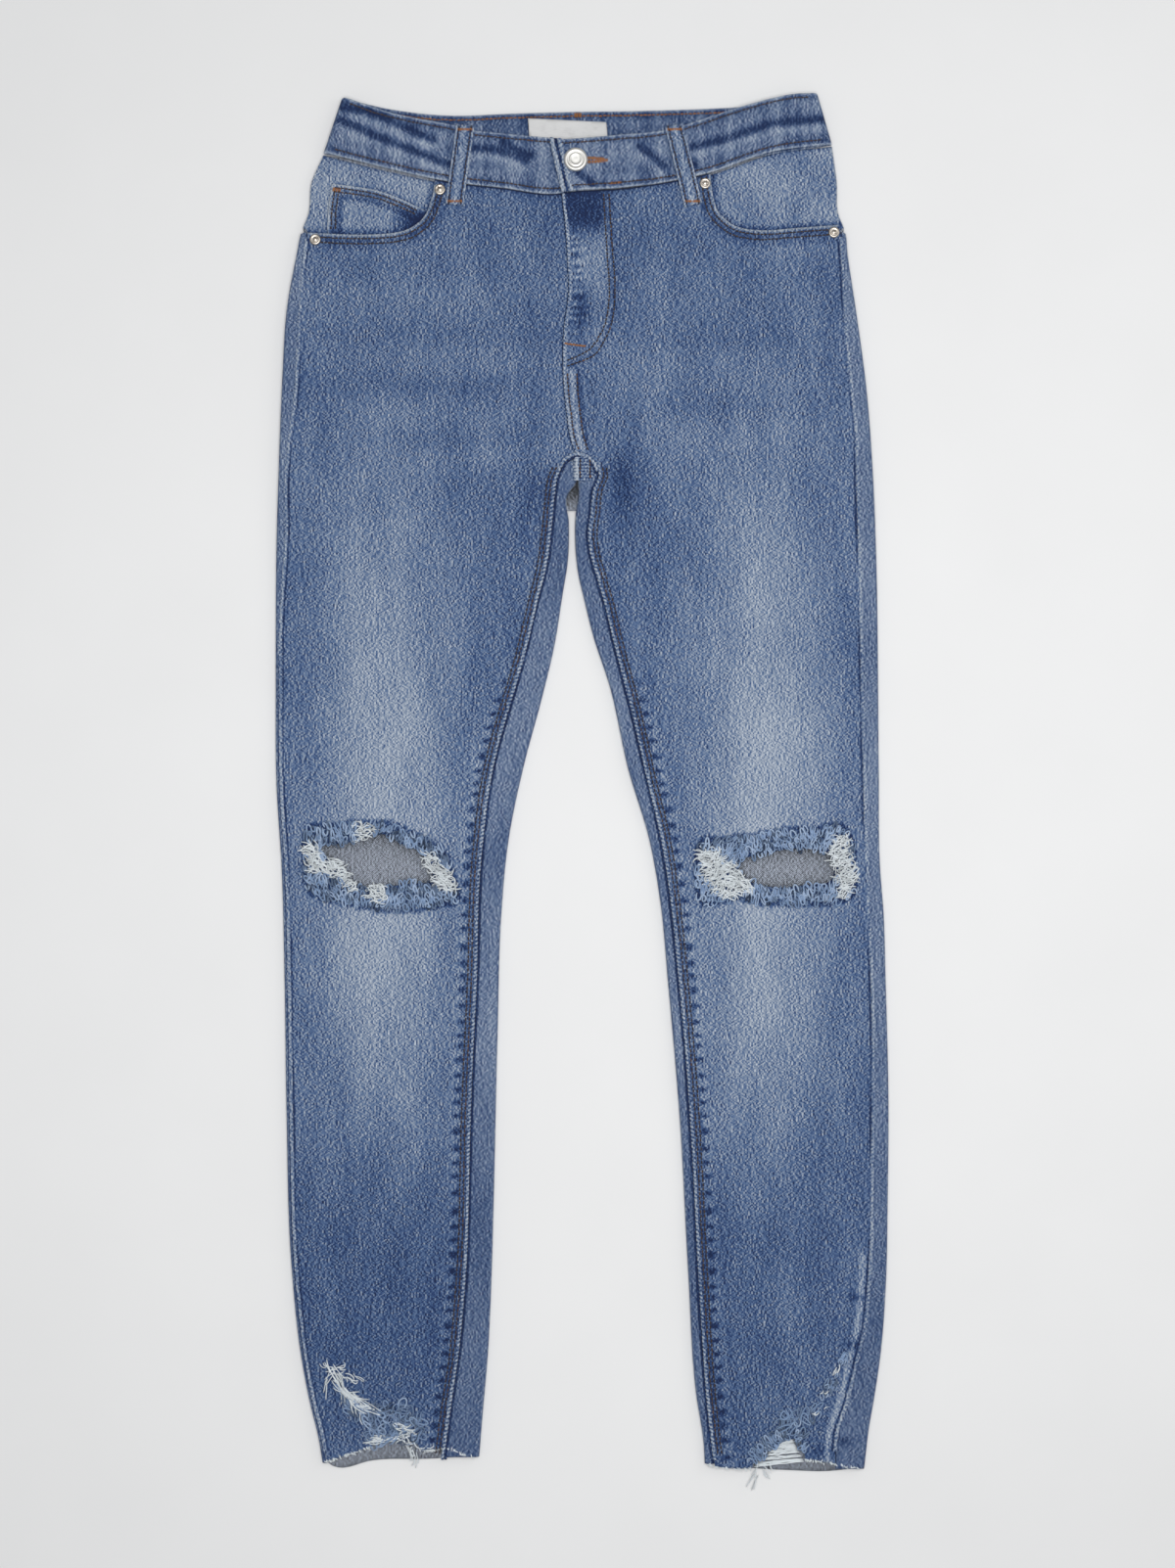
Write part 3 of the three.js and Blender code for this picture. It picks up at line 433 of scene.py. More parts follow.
def front_relief(name, x, y):
    """What the front's surface adds to its layer: folds, turned mouth, felled inseam, fly facing, gathers."""
    leg = LEGS[name]
    rim = smooth(np.abs(x - leg.outline(y)), 0, 14)
    relief = fold_lift(x, y) * rim
    hem = 1 - smooth(mouth_distance(name, x, y), MOUTH_HEM - 2, MOUTH_HEM + 1.5)
    relief += 0.75 * hem * (y > MOUTH_FOOT)
    way = inseam_distance(leg, x, y)
    below = y < FLY_FOOT_Y
    felled = (1 - smooth(way, INSEAM_ALLOWANCE - 1.5, INSEAM_ALLOWANCE + 1.5)) * below
    relief += 0.7 * felled
    band = bell(way - INSEAM_ALLOWANCE - 2.2, 2.2) * below
    relief -= 0.55 * band * pucker(y)
    from_fly = x - centre_front(y)
    if name == "left":
        fly = (1 - smooth(nearest(x, y, spline(FLY_OUTER, 24))[0], 0, 2.5)) * (y > 296)
        relief -= 0.35 * fly
        relief += 0.8 * (1 - smooth(from_fly, 2, 4)) * (y > FLY_FOOT_Y)
    else:
        relief -= 0.8 * (1 - smooth(-from_fly, 0.5, 4)) * (y > FLY_FOOT_Y)
    relief += 0.5 * (1 - smooth(np.abs(waist_seam(x) - y), 3, 7))
    return relief


def front_top(name, x, y):
    """Height of the front's outer face."""
    return upper_mid(y) + CLOTH / 2 + front_relief(name, x, y)


def fade_and_shade(x, y):
    """How much lighter or darker than the plain cloth, faded or in painted fold shade: soft patches added
    together.
    """
    tone = np.zeros(np.broadcast(x, y).shape)
    for (cx, cy), (across, along), much in FADE_AND_SHADE_PATCHES:
        tone += much * np.exp(-(((x - cx) / across) ** 2) - ((y - cy) / along) ** 2)
    return tone


# ---- Meshes ----
def grid_faces(rows, columns, flip=False, wrap=False):
    """Quads of a grid, row after row; wrap joins the last column to the first."""
    i, j = np.meshgrid(np.arange(rows - 1), np.arange(columns if wrap else columns - 1), indexing="ij")
    k = (j + 1) % columns
    quads = np.stack([i * columns + j, i * columns + k, (i + 1) * columns + k, (i + 1) * columns + j], axis=-1)
    quads = quads.reshape(-1, 4)
    return quads[:, ::-1] if flip else quads


def end_caps(count, ring):
    """The two closing faces of a ring carried through count stations."""
    ids = np.arange(ring)
    return [ids, (ids + (count - 1) * ring)[::-1]]


def cloth_finishes(face):
    """The finishes of a wall of denim: its face and its wrong side."""
    return [finish_of(face), finish_of("denim_wrong")]


def make(name, vertices, faces, materials, attributes=None, wall=None, ends=(), ease=True):
    """A mesh object from arrays; attributes are a number a vertex, wall is a thickness in millimetres."""
    mesh = bpy.data.meshes.new(name)
    loops = [np.asarray(f) for f in ends]
    flat = np.concatenate([np.ravel(faces), *loops]).astype(np.int32)
    sizes = np.concatenate([np.full(len(faces), np.shape(faces)[1]), [len(f) for f in loops]])
    sizes = sizes.astype(np.int32)
    mesh.vertices.add(len(vertices))
    mesh.vertices.foreach_set("co", lay(vertices).reshape(-1))
    mesh.loops.add(len(flat))
    mesh.loops.foreach_set("vertex_index", flat)
    mesh.polygons.add(len(sizes))
    mesh.polygons.foreach_set("loop_start", np.concatenate([[0], np.cumsum(sizes)[:-1]]).astype(np.int32))
    mesh.polygons.foreach_set("loop_total", sizes)
    plain = np.full(len(vertices), FAR)
    for key, values in {"worn": plain, "shade": plain, **(attributes or {})}.items():
        layer = mesh.attributes.new(key, "FLOAT", "POINT")
        layer.data.foreach_set("value", np.asarray(values, np.float32).reshape(-1))
    mesh.update(calc_edges=True)
    mesh.validate()
    mesh.polygons.foreach_set("use_smooth", np.full(len(mesh.polygons), ease))
    for material in materials:
        mesh.materials.append(material)
    piece = bpy.data.objects.new(name, mesh)
    bpy.context.scene.collection.objects.link(piece)
    if wall:
        solid = piece.modifiers.new("wall", "SOLIDIFY")
        solid.thickness = wall * MM
        solid.offset = 0
        solid.material_offset = len(materials) - 1
        solid.material_offset_rim = 0
    return piece


def trim(vertices, faces, outline, keep_inside, reach):
    """Drops the faces on one side of an outline and draws the new rim onto it."""
    middle = vertices[faces].mean(axis=1)
    within = inside(middle[:, 0], middle[:, 1], outline)
    faces = faces[within == keep_inside]
    sides = np.concatenate([faces[:, [k, (k + 1) % 4]] for k in range(4)])
    sides = np.sort(sides, axis=1)
    pairs, counts = np.unique(sides, axis=0, return_counts=True)
    rim = np.unique(pairs[counts == 1])
    loop = np.vstack([outline, outline[:1]])
    x, y = vertices[rim, 0], vertices[rim, 1]
    away, foot_x, foot_y = nearest(x, y, loop)
    near = away < reach
    vertices = vertices.copy()
    vertices[rim[near], 0], vertices[rim[near], 1] = foot_x[near], foot_y[near]
    used, renumbered = np.unique(faces, return_inverse=True)
    return vertices[used], renumbered.reshape(faces.shape)


def tubes(paths, radii, sides=4):
    """Tubes about many paths at once: a ring about each station, square to the path.

    paths is (n, k, 3) and radii (n, k); no path stands upright."""
    along = np.gradient(paths, axis=1)
    along /= np.linalg.norm(along, axis=2, keepdims=True) + 1e-9
    second = np.cross(along, UP)
    second /= np.linalg.norm(second, axis=2, keepdims=True) + 1e-9
    first = np.cross(second, along)
    angle = 2 * np.pi * np.arange(sides) / sides
    ring = first[:, :, None] * np.cos(angle)[:, None] + second[:, :, None] * np.sin(angle)[:, None]
    points = paths[:, :, None] + ring * radii[:, :, None, None]
    count, stations = paths.shape[:2]
    one = grid_faces(stations, sides, flip=True, wrap=True)
    offset = (np.arange(count) * stations * sides)[:, None, None]
    faces = (one[None] + offset).reshape(-1, 4)
    ring_ids = np.arange(sides)
    starts = ring_ids[None] + offset[:, :, 0]
    stops = ring_ids[None, ::-1] + offset[:, :, 0] + (stations - 1) * sides
    return points.reshape(-1, 3), faces, np.concatenate([starts, stops])


def tube_object(name, paths, radii, material, tones, sides=4):
    """One mesh of many closed tubes, each of one tone."""
    vertices, faces, caps = tubes(paths, radii, sides)
    tone = np.repeat(tones, paths.shape[1] * sides)
    return make(name, vertices, faces, [material], {"tone": tone}, ends=list(caps))


STITCH_STATIONS = np.array([0.0, 0.16, 0.5, 0.84, 1.0])
STITCH_WIDTHS = np.array([0.45, 0.95, 1.0, 0.95, 0.45])


def stitches(line, radius, tone, pitch=3.2, gap=0.2, sink=0):
    """Stitches along a line: each a short thread that rises out of the cloth and dives back in."""
    line = np.asarray(line, float)
    length = np.linalg.norm(np.diff(line, axis=0), axis=1).sum()
    ends = even(line, max(int(round(length / pitch)), 1))
    start, stop = mix(ends[:-1], ends[1:], gap / 2), mix(ends[:-1], ends[1:], 1 - gap / 2)
    t = STITCH_STATIONS[None, :, None]
    paths = mix(start[:, None], stop[:, None], t)
    paths[:, :, 2] += radius * (np.sin(np.pi * STITCH_STATIONS) - sink)
    return paths, np.full(len(paths), radius), np.full(len(paths), float(tone))


def bartack(start, stop, height, width=2, radius=0.32, tone=1):
    """Close-set threads across a short bar."""
    start, stop = np.array(start, float), np.array(stop, float)
    length = np.linalg.norm(stop - start)
    count = max(int(length / 0.62), 2)
    way = (stop - start) / length
    side = np.array([-way[1], way[0]]) * width / 2
    t = np.linspace(0, 1, count)[:, None]
    middle = start + (stop - start) * t
    a, b = middle - side, middle + side
    s = STITCH_STATIONS[None, :, None]
    flat = mix(a[:, None], b[:, None], s)
    z = height(flat[..., 0], flat[..., 1]) + radius * (0.3 + 0.9 * np.sin(np.pi * STITCH_STATIONS))
    return np.dstack([flat, z]), np.full(count, radius), np.full(count, tone)


# ---- Materials ----
def linear(colour):
    """A display colour to the light it stands for."""
    c = np.array(colour[:3], float)
    return tuple(np.where(c <= 0.04045, c / 12.92, ((c + 0.055) / 1.055) ** 2.4)) + (1.0,)


def arithmetic(operation, swapped=False):
    """An operator that adds one Math node."""

    def apply(self, other):
        return self.shader.math(operation, *((other, self) if swapped else (self, other)))

    return apply


class Value:
    """A shader socket whose arithmetic adds Math nodes."""

    def __init__(self, shader, socket):
        self.shader, self.socket = shader, socket

    __add__ = __radd__ = arithmetic("ADD")
    __mul__ = __rmul__ = arithmetic("MULTIPLY")
    __sub__ = arithmetic("SUBTRACT")
    __rsub__ = arithmetic("SUBTRACT", swapped=True)
    __truediv__ = arithmetic("DIVIDE")


class Shader:
    """A node material written as expressions."""

    def __init__(self, name):
        self.material = bpy.data.materials.new(name)
        self.material.use_nodes = True
        self.tree = self.material.node_tree
        self.tree.nodes.clear()

    def node(self, kind, settings=None, sockets=None, out=0):
        """One node: its settings first, then the values or links of its sockets."""
        node = self.tree.nodes.new(kind)
        node.location = (220 * (len(self.tree.nodes) % 9), -180 * (len(self.tree.nodes) // 9))
        for key, value in (settings or {}).items():
            if key == "stops":
                ramp = node.color_ramp
                while len(ramp.elements) < len(value):
                    ramp.elements.new(0.5)
                for element, (at, colour) in zip(ramp.elements, value):
                    element.position, element.color = at, linear(colour)
            else:
                setattr(node, key, value)
        for key, value in (sockets or {}).items():
            if isinstance(value, Value):
                self.tree.links.new(value.socket, node.inputs[key])
            else:
                node.inputs[key].default_value = value
        return Value(self, node.outputs[out]) if len(node.outputs) else None

    def math(self, operation, *values):
        """One sum of its values."""
        return self.node("ShaderNodeMath", {"operation": operation}, dict(enumerate(values)))

    def smooth(self, value, low, high):
        """0 below low, 1 above high, an S between."""
        return self.node("ShaderNodeMapRange", {"interpolation_type": "SMOOTHSTEP"},
                         {"Value": value, "From Min": low, "From Max": high})

    def attribute(self, name):
        """The mesh's own number at each place."""
        return self.node("ShaderNodeAttribute", {"attribute_name": name}, out="Fac")

    def place(self):
        """A place on the object, in metres."""
        return self.node("ShaderNodeTexCoord", out="Object")

    def axes(self, vector):
        """A vector's x, y and z."""
        split = self.node("ShaderNodeSeparateXYZ", None, {0: vector})
        outputs = split.socket.node.outputs
        return tuple(Value(self, outputs[k]) for k in range(3))

    def stretch(self, vector, scale, shift=(0, 0, 0)):
        """A vector times scale plus shift."""
        return self.node("ShaderNodeVectorMath", {"operation": "MULTIPLY_ADD"}, {0: vector, 1: scale, 2: shift})

    def noise(self, vector, detail=2, roughness=0.5):
        """Soft noise round 0.5, a cell to a unit."""
        sockets = {"Vector": vector, "Scale": 1, "Detail": detail, "Roughness": roughness}
        return self.node("ShaderNodeTexNoise", None, sockets, out="Fac")

    def ramp(self, value, stops):
        """The colour at a value between stops."""
        return self.node("ShaderNodeValToRGB", {"stops": stops}, {0: value}, out="Color")

    def bump(self, height, distance, strength=1):
        """A normal tilted by a height times distance in millimetres."""
        sockets = {"Strength": strength, "Distance": distance * MM, "Height": height}
        return self.node("ShaderNodeBump", None, sockets)

    def finish(self, colour, roughness, normal=None, **constants):
        """The surface: what varies is linked, what doesn't is set on its socket."""
        sockets = {"Base Color": colour, "Roughness": roughness}
        if normal is not None:
            sockets["Normal"] = normal
        sockets.update({key.replace("_", " "): value for key, value in constants.items()})
        surface = self.node("ShaderNodeBsdfPrincipled", None, sockets)
        self.node("ShaderNodeOutputMaterial", None, {"Surface": surface})
        return self.material


def per_mm(x, y=None, z=None):
    """Pattern cells for each metre, from cells for each millimetre."""
    y = x if y is None else y
    return (x / MM, y / MM, (x if z is None else z) / MM)


def denim(name, stops, base, contrast=1, wale=0.05, blotch=1, grain=(2.4, 1.5),
          drift=((0.045, 0.016), (0.16, 0.1))):
    """Worn denim: twill wales, yarn floats each of its own tone, flecks and slow blotches.

    The attribute tone is added to base; worn and shade are the distances, in millimetres, from an edge rubbed
    light and from a seam or edge where shade is painted dark."""
    m = Shader(name)
    place = m.place()
    x, y, _ = m.axes(place)
    fleck = m.noise(m.stretch(place, per_mm(*grain)), 3, 0.62) - 0.5
    yarn = m.noise(m.stretch(place, per_mm(1.7, 0.16), (7.1, 2.3, 0.5)), 1) - 0.5
    streak = m.noise(m.stretch(place, per_mm(1.05, 0.36), (2.7, 9.1, 0.5)), 1) - 0.5
    wale_wave = m.math("SINE", (x - y) * (2 * np.pi / (1.27 * MM)) + yarn * 4)
    warp = m.math("FLOOR", x / (1.1 * MM) + yarn * 1.2)

    def float_in(column):
        """The tone of the yarn float that lies at each place of a warp column."""
        row = m.math("FLOOR", (y + column * (0.5 * MM)) / (1.15 * MM))
        crossing = m.node("ShaderNodeCombineXYZ", None, {0: column, 1: row})
        return m.node("ShaderNodeTexWhiteNoise", {"noise_dimensions": "2D"}, {"Vector": crossing}, out="Value")

    float_tone = float_in(warp) - float_in(warp + 1)  # so only fine grain is left
    slow = m.noise(m.stretch(place, per_mm(*drift[0]), (3, 1, 0)), 3, 0.6) - 0.5
    cloud = m.noise(m.stretch(place, per_mm(*drift[1]), (11, 5, 0)), 2) - 0.5
    worn = 1 - m.smooth(m.attribute("worn"), 0.2, 1.9)
    shade = 1 - m.smooth(m.attribute("shade"), 0.15, 1.3)
    tone = m.attribute("tone") + base + slow * (0.34 * blotch) + cloud * (0.09 * blotch)
    tone += (fleck * 0.3 + float_tone * 0.42 + streak * 0.4 + wale_wave * wale) * contrast
    # shade is painted shade: the cloth darkens near seams and under edges
    tone += worn * (0.32 + fleck * 0.9) - shade * 0.5
    height = wale_wave * 0.4 + fleck * 1.8 + float_tone * 0.4 + yarn
    rough = 0.84 + fleck * 0.16
    return m.finish(m.ramp(tone, stops), rough, m.bump(height, 0.22, 0.55),
                    Sheen_Weight=0.06, Sheen_Roughness=0.5, Specular_IOR_Level=0.22)


def thread(name, stops, pitch=1.1, gloss=0.25):
    """Twisted thread or yarn: fine ply lines; the attribute tone picks its colour."""
    m = Shader(name)
    place = m.place()
    x, y, z = m.axes(place)
    ply = m.math("SINE", (x + y * 0.8 + z) * (2 * np.pi / (pitch * MM)))
    fuzz = m.noise(m.stretch(place, per_mm(2.4)), 2) - 0.5
    tone = m.attribute("tone") + ply * 0.06 + fuzz * 0.35
    return m.finish(m.ramp(tone, stops), 0.78 + fuzz * 0.2, m.bump(ply + fuzz * 2, 0.12, 0.6),
                    Sheen_Weight=0.1, Specular_IOR_Level=gloss)


def metal(name, colour, dark, roughness, dent=0.08):
    """Worn plated metal: faint scratches and dull, darker patches."""
    m = Shader(name)
    place = m.place()
    patches = m.noise(m.stretch(place, per_mm(0.35)), 2)
    scratches = (m.noise(m.stretch(place, per_mm(6, 0.5)), 2) - 0.5) * 0.4
    stops = [(0.0, dark), (0.42, mix(np.array(dark), np.array(colour), 0.8)), (0.7, colour), (1.0, colour)]
    return m.finish(m.ramp(patches + scratches * 0.3, stops),
                    roughness + (patches - 0.5) * 0.25 + scratches * 0.15,
                    m.bump(scratches + patches, dent, 0.4), Metallic=1)


def satin(name, colour):
    """Woven satin: long floats across, a soft gloss, and a faint soiled cast."""
    m = Shader(name)
    place = m.place()
    floats = m.noise(m.stretch(place, per_mm(0.35, 4)), 2) - 0.5
    soil = m.noise(m.stretch(place, per_mm(0.12, 0.16)), 3) - 0.5
    c = np.array(colour)
    stops = [(0, c * 0.84), (0.5, c), (1, np.minimum(c * 1.04, 1))]
    return m.finish(m.ramp(floats * 0.8 + soil * 0.9 + 0.55, stops), 0.42 + floats * 0.3,
                    m.bump(floats, 0.08, 0.5), Sheen_Weight=0.15)


def floor_finish(colour):
    """A plain pale board with the faintest mottle."""
    m = Shader("studio_floor")
    mottle = m.noise(m.stretch(m.place(), (9, 9, 9)), 3) - 0.5
    c = np.array(colour)
    stops = [(0, c * 0.985), (1, np.minimum(c * 1.01, 1))]
    return m.finish(m.ramp(mottle + 0.5, stops), 0.75 + mottle * 0.1, m.bump(mottle, 0.02, 0.2))


FINISHES = {}


def finish_of(key):
    """The material of one finish, made the first time it is asked for."""
    if key in FINISHES:
        return FINISHES[key]
    colours = bpy.context.scene.jeans_colours
    blues = (colours.indigo_dark, colours.indigo_mid, colours.indigo_light, colours.indigo_worn)
    dark, mid, light, pale = (np.array(blue[:]) for blue in blues)
    outside = [(0.0, dark * np.array([0.6, 0.6, 0.68])), (0.25, dark), (0.5, mid), (0.75, light), (1.0, pale)]
    grey = np.array(colours.wrong_side[:])
    wrong = [(0, grey * 0.3), (0.3, grey * 0.78), (0.5, grey), (0.75, grey * 1.14),
             (1, np.minimum(grey * 1.3, 1))]
    brown, tan = np.array(colours.thread_brown[:]), np.array(colours.thread_tan[:])
    sewing = [(0, brown * 0.55), (0.4, brown), (0.8, tan), (1, tan * 1.1)]
    white, yarn = np.array(colours.weft_white[:]), np.array(colours.yarn_blue[:])
    curled = [(0.0, yarn * np.array([0.34, 0.42, 0.5])), (0.35, yarn * 0.85), (0.65, yarn * 1.15),
              (1, mix(yarn * 1.35, pale, 0.5))]
    weft = [(0, white * 0.5), (0.4, white * 0.86), (0.7, white), (1, white)]
    recipes = {
        "denim_face": lambda: denim("denim_face", outside, 0.435),
        "denim_back": lambda: denim("denim_back", outside, 0.47, 0.9, 0.26),
        "denim_band": lambda: denim("denim_band", outside, 0.46, 0.95, 0.26, 1.4, (2, 0.9),
                                    ((0.03, 0.09), (0.05, 0.24))),
        "denim_wrong": lambda: denim("denim_wrong", wrong, 0.54, 1.4, 0.4, 0.6),
        "sewing_thread": lambda: thread("sewing_thread", sewing),
        "blue_yarn": lambda: thread("blue_yarn", curled, 1.2),
        "white_yarn": lambda: thread("white_yarn", weft, 1.2),
        "satin": lambda: satin("label_satin", colours.label[:]),
        "nickel": lambda: metal("button_nickel", (0.88, 0.875, 0.86), (0.72, 0.71, 0.69), 0.5, 0.01),
        "copper": lambda: metal("rivet_copper", (0.77, 0.745, 0.71), (0.42, 0.35, 0.29), 0.36, 0.03),
        "brass": lambda: metal("zip_brass", (0.72, 0.58, 0.34), (0.35, 0.26, 0.14), 0.3),
    }
    FINISHES[key] = recipes[key]()
    return FINISHES[key]


def cloth_piece(piece, nodes):
    """Hangs one laid sheet of cloth on the root and hides the model's parts that it stands for."""
    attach(piece, "root")
    if nodes:
        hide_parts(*nodes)


def fitting(piece, nodes):
    """Hangs a piece that isn't a sheet on the root and hides the model's parts that it stands for."""
    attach(piece, "root")
    if nodes:
        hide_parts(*nodes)


# ---- Cloth grids ----
def row_height(level, x, hem, top, top_level):
    """Where a row lies: on its level, drawn to the cut hem at the bottom and to the seam at the top."""
    low = mix(ANKLE_Y, hem(x), (ANKLE_Y - level) / (ANKLE_Y - HEM_LEVEL))
    high = mix(HIP_Y, top(x), (level - HIP_Y) / (top_level - HIP_Y))
    return np.where(level < ANKLE_Y, low, np.where(level > HIP_Y, high, level))


def side_reach(leg, y):
    """How far the back shows on top beside the outline: to the outseam, but no less than its least."""
    level = np.minimum(y, SIDE_TURNED_Y)
    return np.maximum(np.abs(leg.outseam(level) - leg.outline(level)), SIDE_REACH)


def front_side(leg, y):
    """The front's outer edge."""
    return leg.outline(y) + leg.inward * (side_reach(leg, y) + GAP / 2)


def front_middle(leg, y):
    """The front's inner edge: the inseam, and above it the centre front."""
    return np.where(y > FLY_FOOT_Y, centre_front(y), leg.inseam(y)) - leg.inward * GAP / 2


def front_panel(name, rows=380, columns=82):
    """The front of a leg: a grid from outseam to inseam and up from hem to waist, lifted by its relief."""
    leg = LEGS[name]
    u = np.linspace(0, 1, columns + 1)
    share = (u - 0.55 * np.sin(2 * np.pi * u) / (2 * np.pi))[None]
    level = np.linspace(HEM_LEVEL, FRONT_LEVEL_TOP, rows + 1)[:, None]
    y = level + 0 * share
    for _ in range(ROW_PASSES):
        x = mix(front_side(leg, y), front_middle(leg, y), share)
        y = row_height(level, x, leg.front_hem, lambda v: waist_seam(v) - GAP, FRONT_LEVEL_TOP)
    z = upper_mid(y) + front_relief(name, x, y)
    vertices = places(x, y, z)
    faces = grid_faces(rows + 1, columns + 1, flip=leg.inward < 0)
    vertices, faces = trim(vertices, faces, rip_edge(name), False, 3.2)
    vertices, faces = trim(vertices, faces, np.array(HEM_TEARS[name], float), False, 2.4)
    curve = spline(MOUTHS[name], 60)
    out = -leg.inward * 240
    cut = np.vstack([curve, [(out, curve[-1, 1]), (out, 500), (curve[0, 0], 500)]])
    vertices, faces = trim(vertices, faces, cut, False, 2.6)
    x, y = vertices[:, 0], vertices[:, 1]
    way = inseam_distance(leg, x, y)
    across = x - centre_front(y)
    mouth = mouth_distance(name, x, y)
    tone = fade_and_shade(x, y)
    # painted shade in the gathers beside the inseam's stitching
    tone -= 0.6 * pucker(y) * bell(way - INSEAM_ALLOWANCE - 2.4, 2.7) * (y < FLY_FOOT_Y)
    tone += 0.1 * bell(way - INSEAM_ALLOWANCE - 4, 3.5) * (y < 90)
    tone -= 0.1 * (1 - smooth(way, 4, 7)) * (y < FLY_FOOT_Y)
    tone -= (0.24 * bell(mouth - 5, 2.6) + 0.12 * bell(mouth - 10, 1.8)) * (y > MOUTH_FOOT)
    rip = nearest(x, y, rip_edge(name))[0]
    # darker round the rip, and painted shade under the fringe so the gaps between its loops look shaded
    tone -= 0.1 * bell(rip, 9) + 0.4 * inside(x, y, spline(FRINGES[name], 60, closed=True))
    if name == "left":
        tone -= 0.12 * bell(nearest(x, y, spline(FLY_OUTER, 24))[0], 2.2)
        tone -= 0.26 * (1 - smooth(x, 13, 17)) * smooth(across, 0, 3) * smooth(y, 388, 404)
        crumpled = smooth(y, 316, 330) * (1 - smooth(y, 385, 398)) * bell(across - 6, 5)
        tone += 0.26 * crumpled * np.sin(y * 1.5 + 2.2 * np.sin(y / 4.6))
        below_fly = smooth(y, FLY_FOOT_Y, 240) * (1 - smooth(y, 292, 300))
        tone += below_fly * (0.3 * bell(across - 6, 1.9) - 0.22 * bell(across - 10.5, 1.5))
        from_side = np.abs(x - leg.outline(y)) - side_reach(leg, y)
        tone += 0.36 * bell(from_side - 5.8, 2.4) * (1 - smooth(y, -345, -325))
    # painted shadow below the waistband
    tone -= 0.14 * bell(waist_seam(x) - y, 3.5)
    hem = np.abs(y - leg.front_hem(x))
    tear = nearest(x, y, np.array(HEM_TEARS[name] + HEM_TEARS[name][:1], float))[0]
    worn = np.where(y > MOUTH_FOOT, mouth - 0.4, FAR)
    worn = np.minimum(worn, np.minimum(hem, tear) + 0.9)
    lapped, above = name == "left", y > FLY_FOOT_Y
    worn = np.where(above & lapped, np.minimum(worn, np.abs(np.abs(across) - 0.7)), worn)
    # painted shadow of the left front's lap edge along the right front's centre front
    shade = np.where(above & (not lapped), np.abs(across), FAR)
    # painted shadow: a dark line along the waist seam
    shade = np.minimum(shade, np.abs(waist_seam(x) - GAP - y) + 0.1)
    return make("front_panel_" + name, vertices, faces, cloth_finishes("denim_face"),
                {"tone": tone, "worn": worn, "shade": shade}, wall=CLOTH)


def section_end(y, height_at, inward, open_share, flat_x, crease_x, seam_x, steps, strips):
    """One end of a back panel's rows: round the leg's pressed edge to the seam on top, or flat below.

    Round the edge is a half circle between the two layers; open_share 1 is flat, 0 is turned."""
    low, high = lower_mid(y), upper_mid(y)
    radius = (high - low) / 2
    turn = np.pi * radius
    strip = np.maximum(np.abs(seam_x - crease_x) - CLOTH / 2 - radius, LEAST_STRIP)
    k = np.concatenate([np.linspace(0, 1, steps + 1), 1 + np.linspace(0, 1, strips + 1)[1:]])[None]
    way = turn * np.minimum(k, 1) + strip * np.maximum(k - 1, 0)
    centre = crease_x + inward * (CLOTH / 2 + radius)
    angle = np.minimum(way / radius, np.pi) - np.pi / 2
    beyond = np.maximum(way - turn, 0)
    x = centre - inward * radius * np.cos(angle) + inward * beyond
    z = low + radius + radius * np.sin(angle)
    turned = np.stack([x, y + 0 * x, z], axis=-1)
    flat = flat_x + inward * TAIL * (1 - way / way[:, -1:])
    level = height_at(flat)
    lying = np.stack([flat, level, lower_mid(level)], axis=-1)
    return mix(turned, lying, open_share[..., None])


def yoke_seam(x, side):
    """The seam under the yoke: straight from side to centre back."""
    return mix(YOKE_SIDE_Y, YOKE_CENTRE_Y, np.clip((x - side) / (CENTRE_X - side), 0, 1))


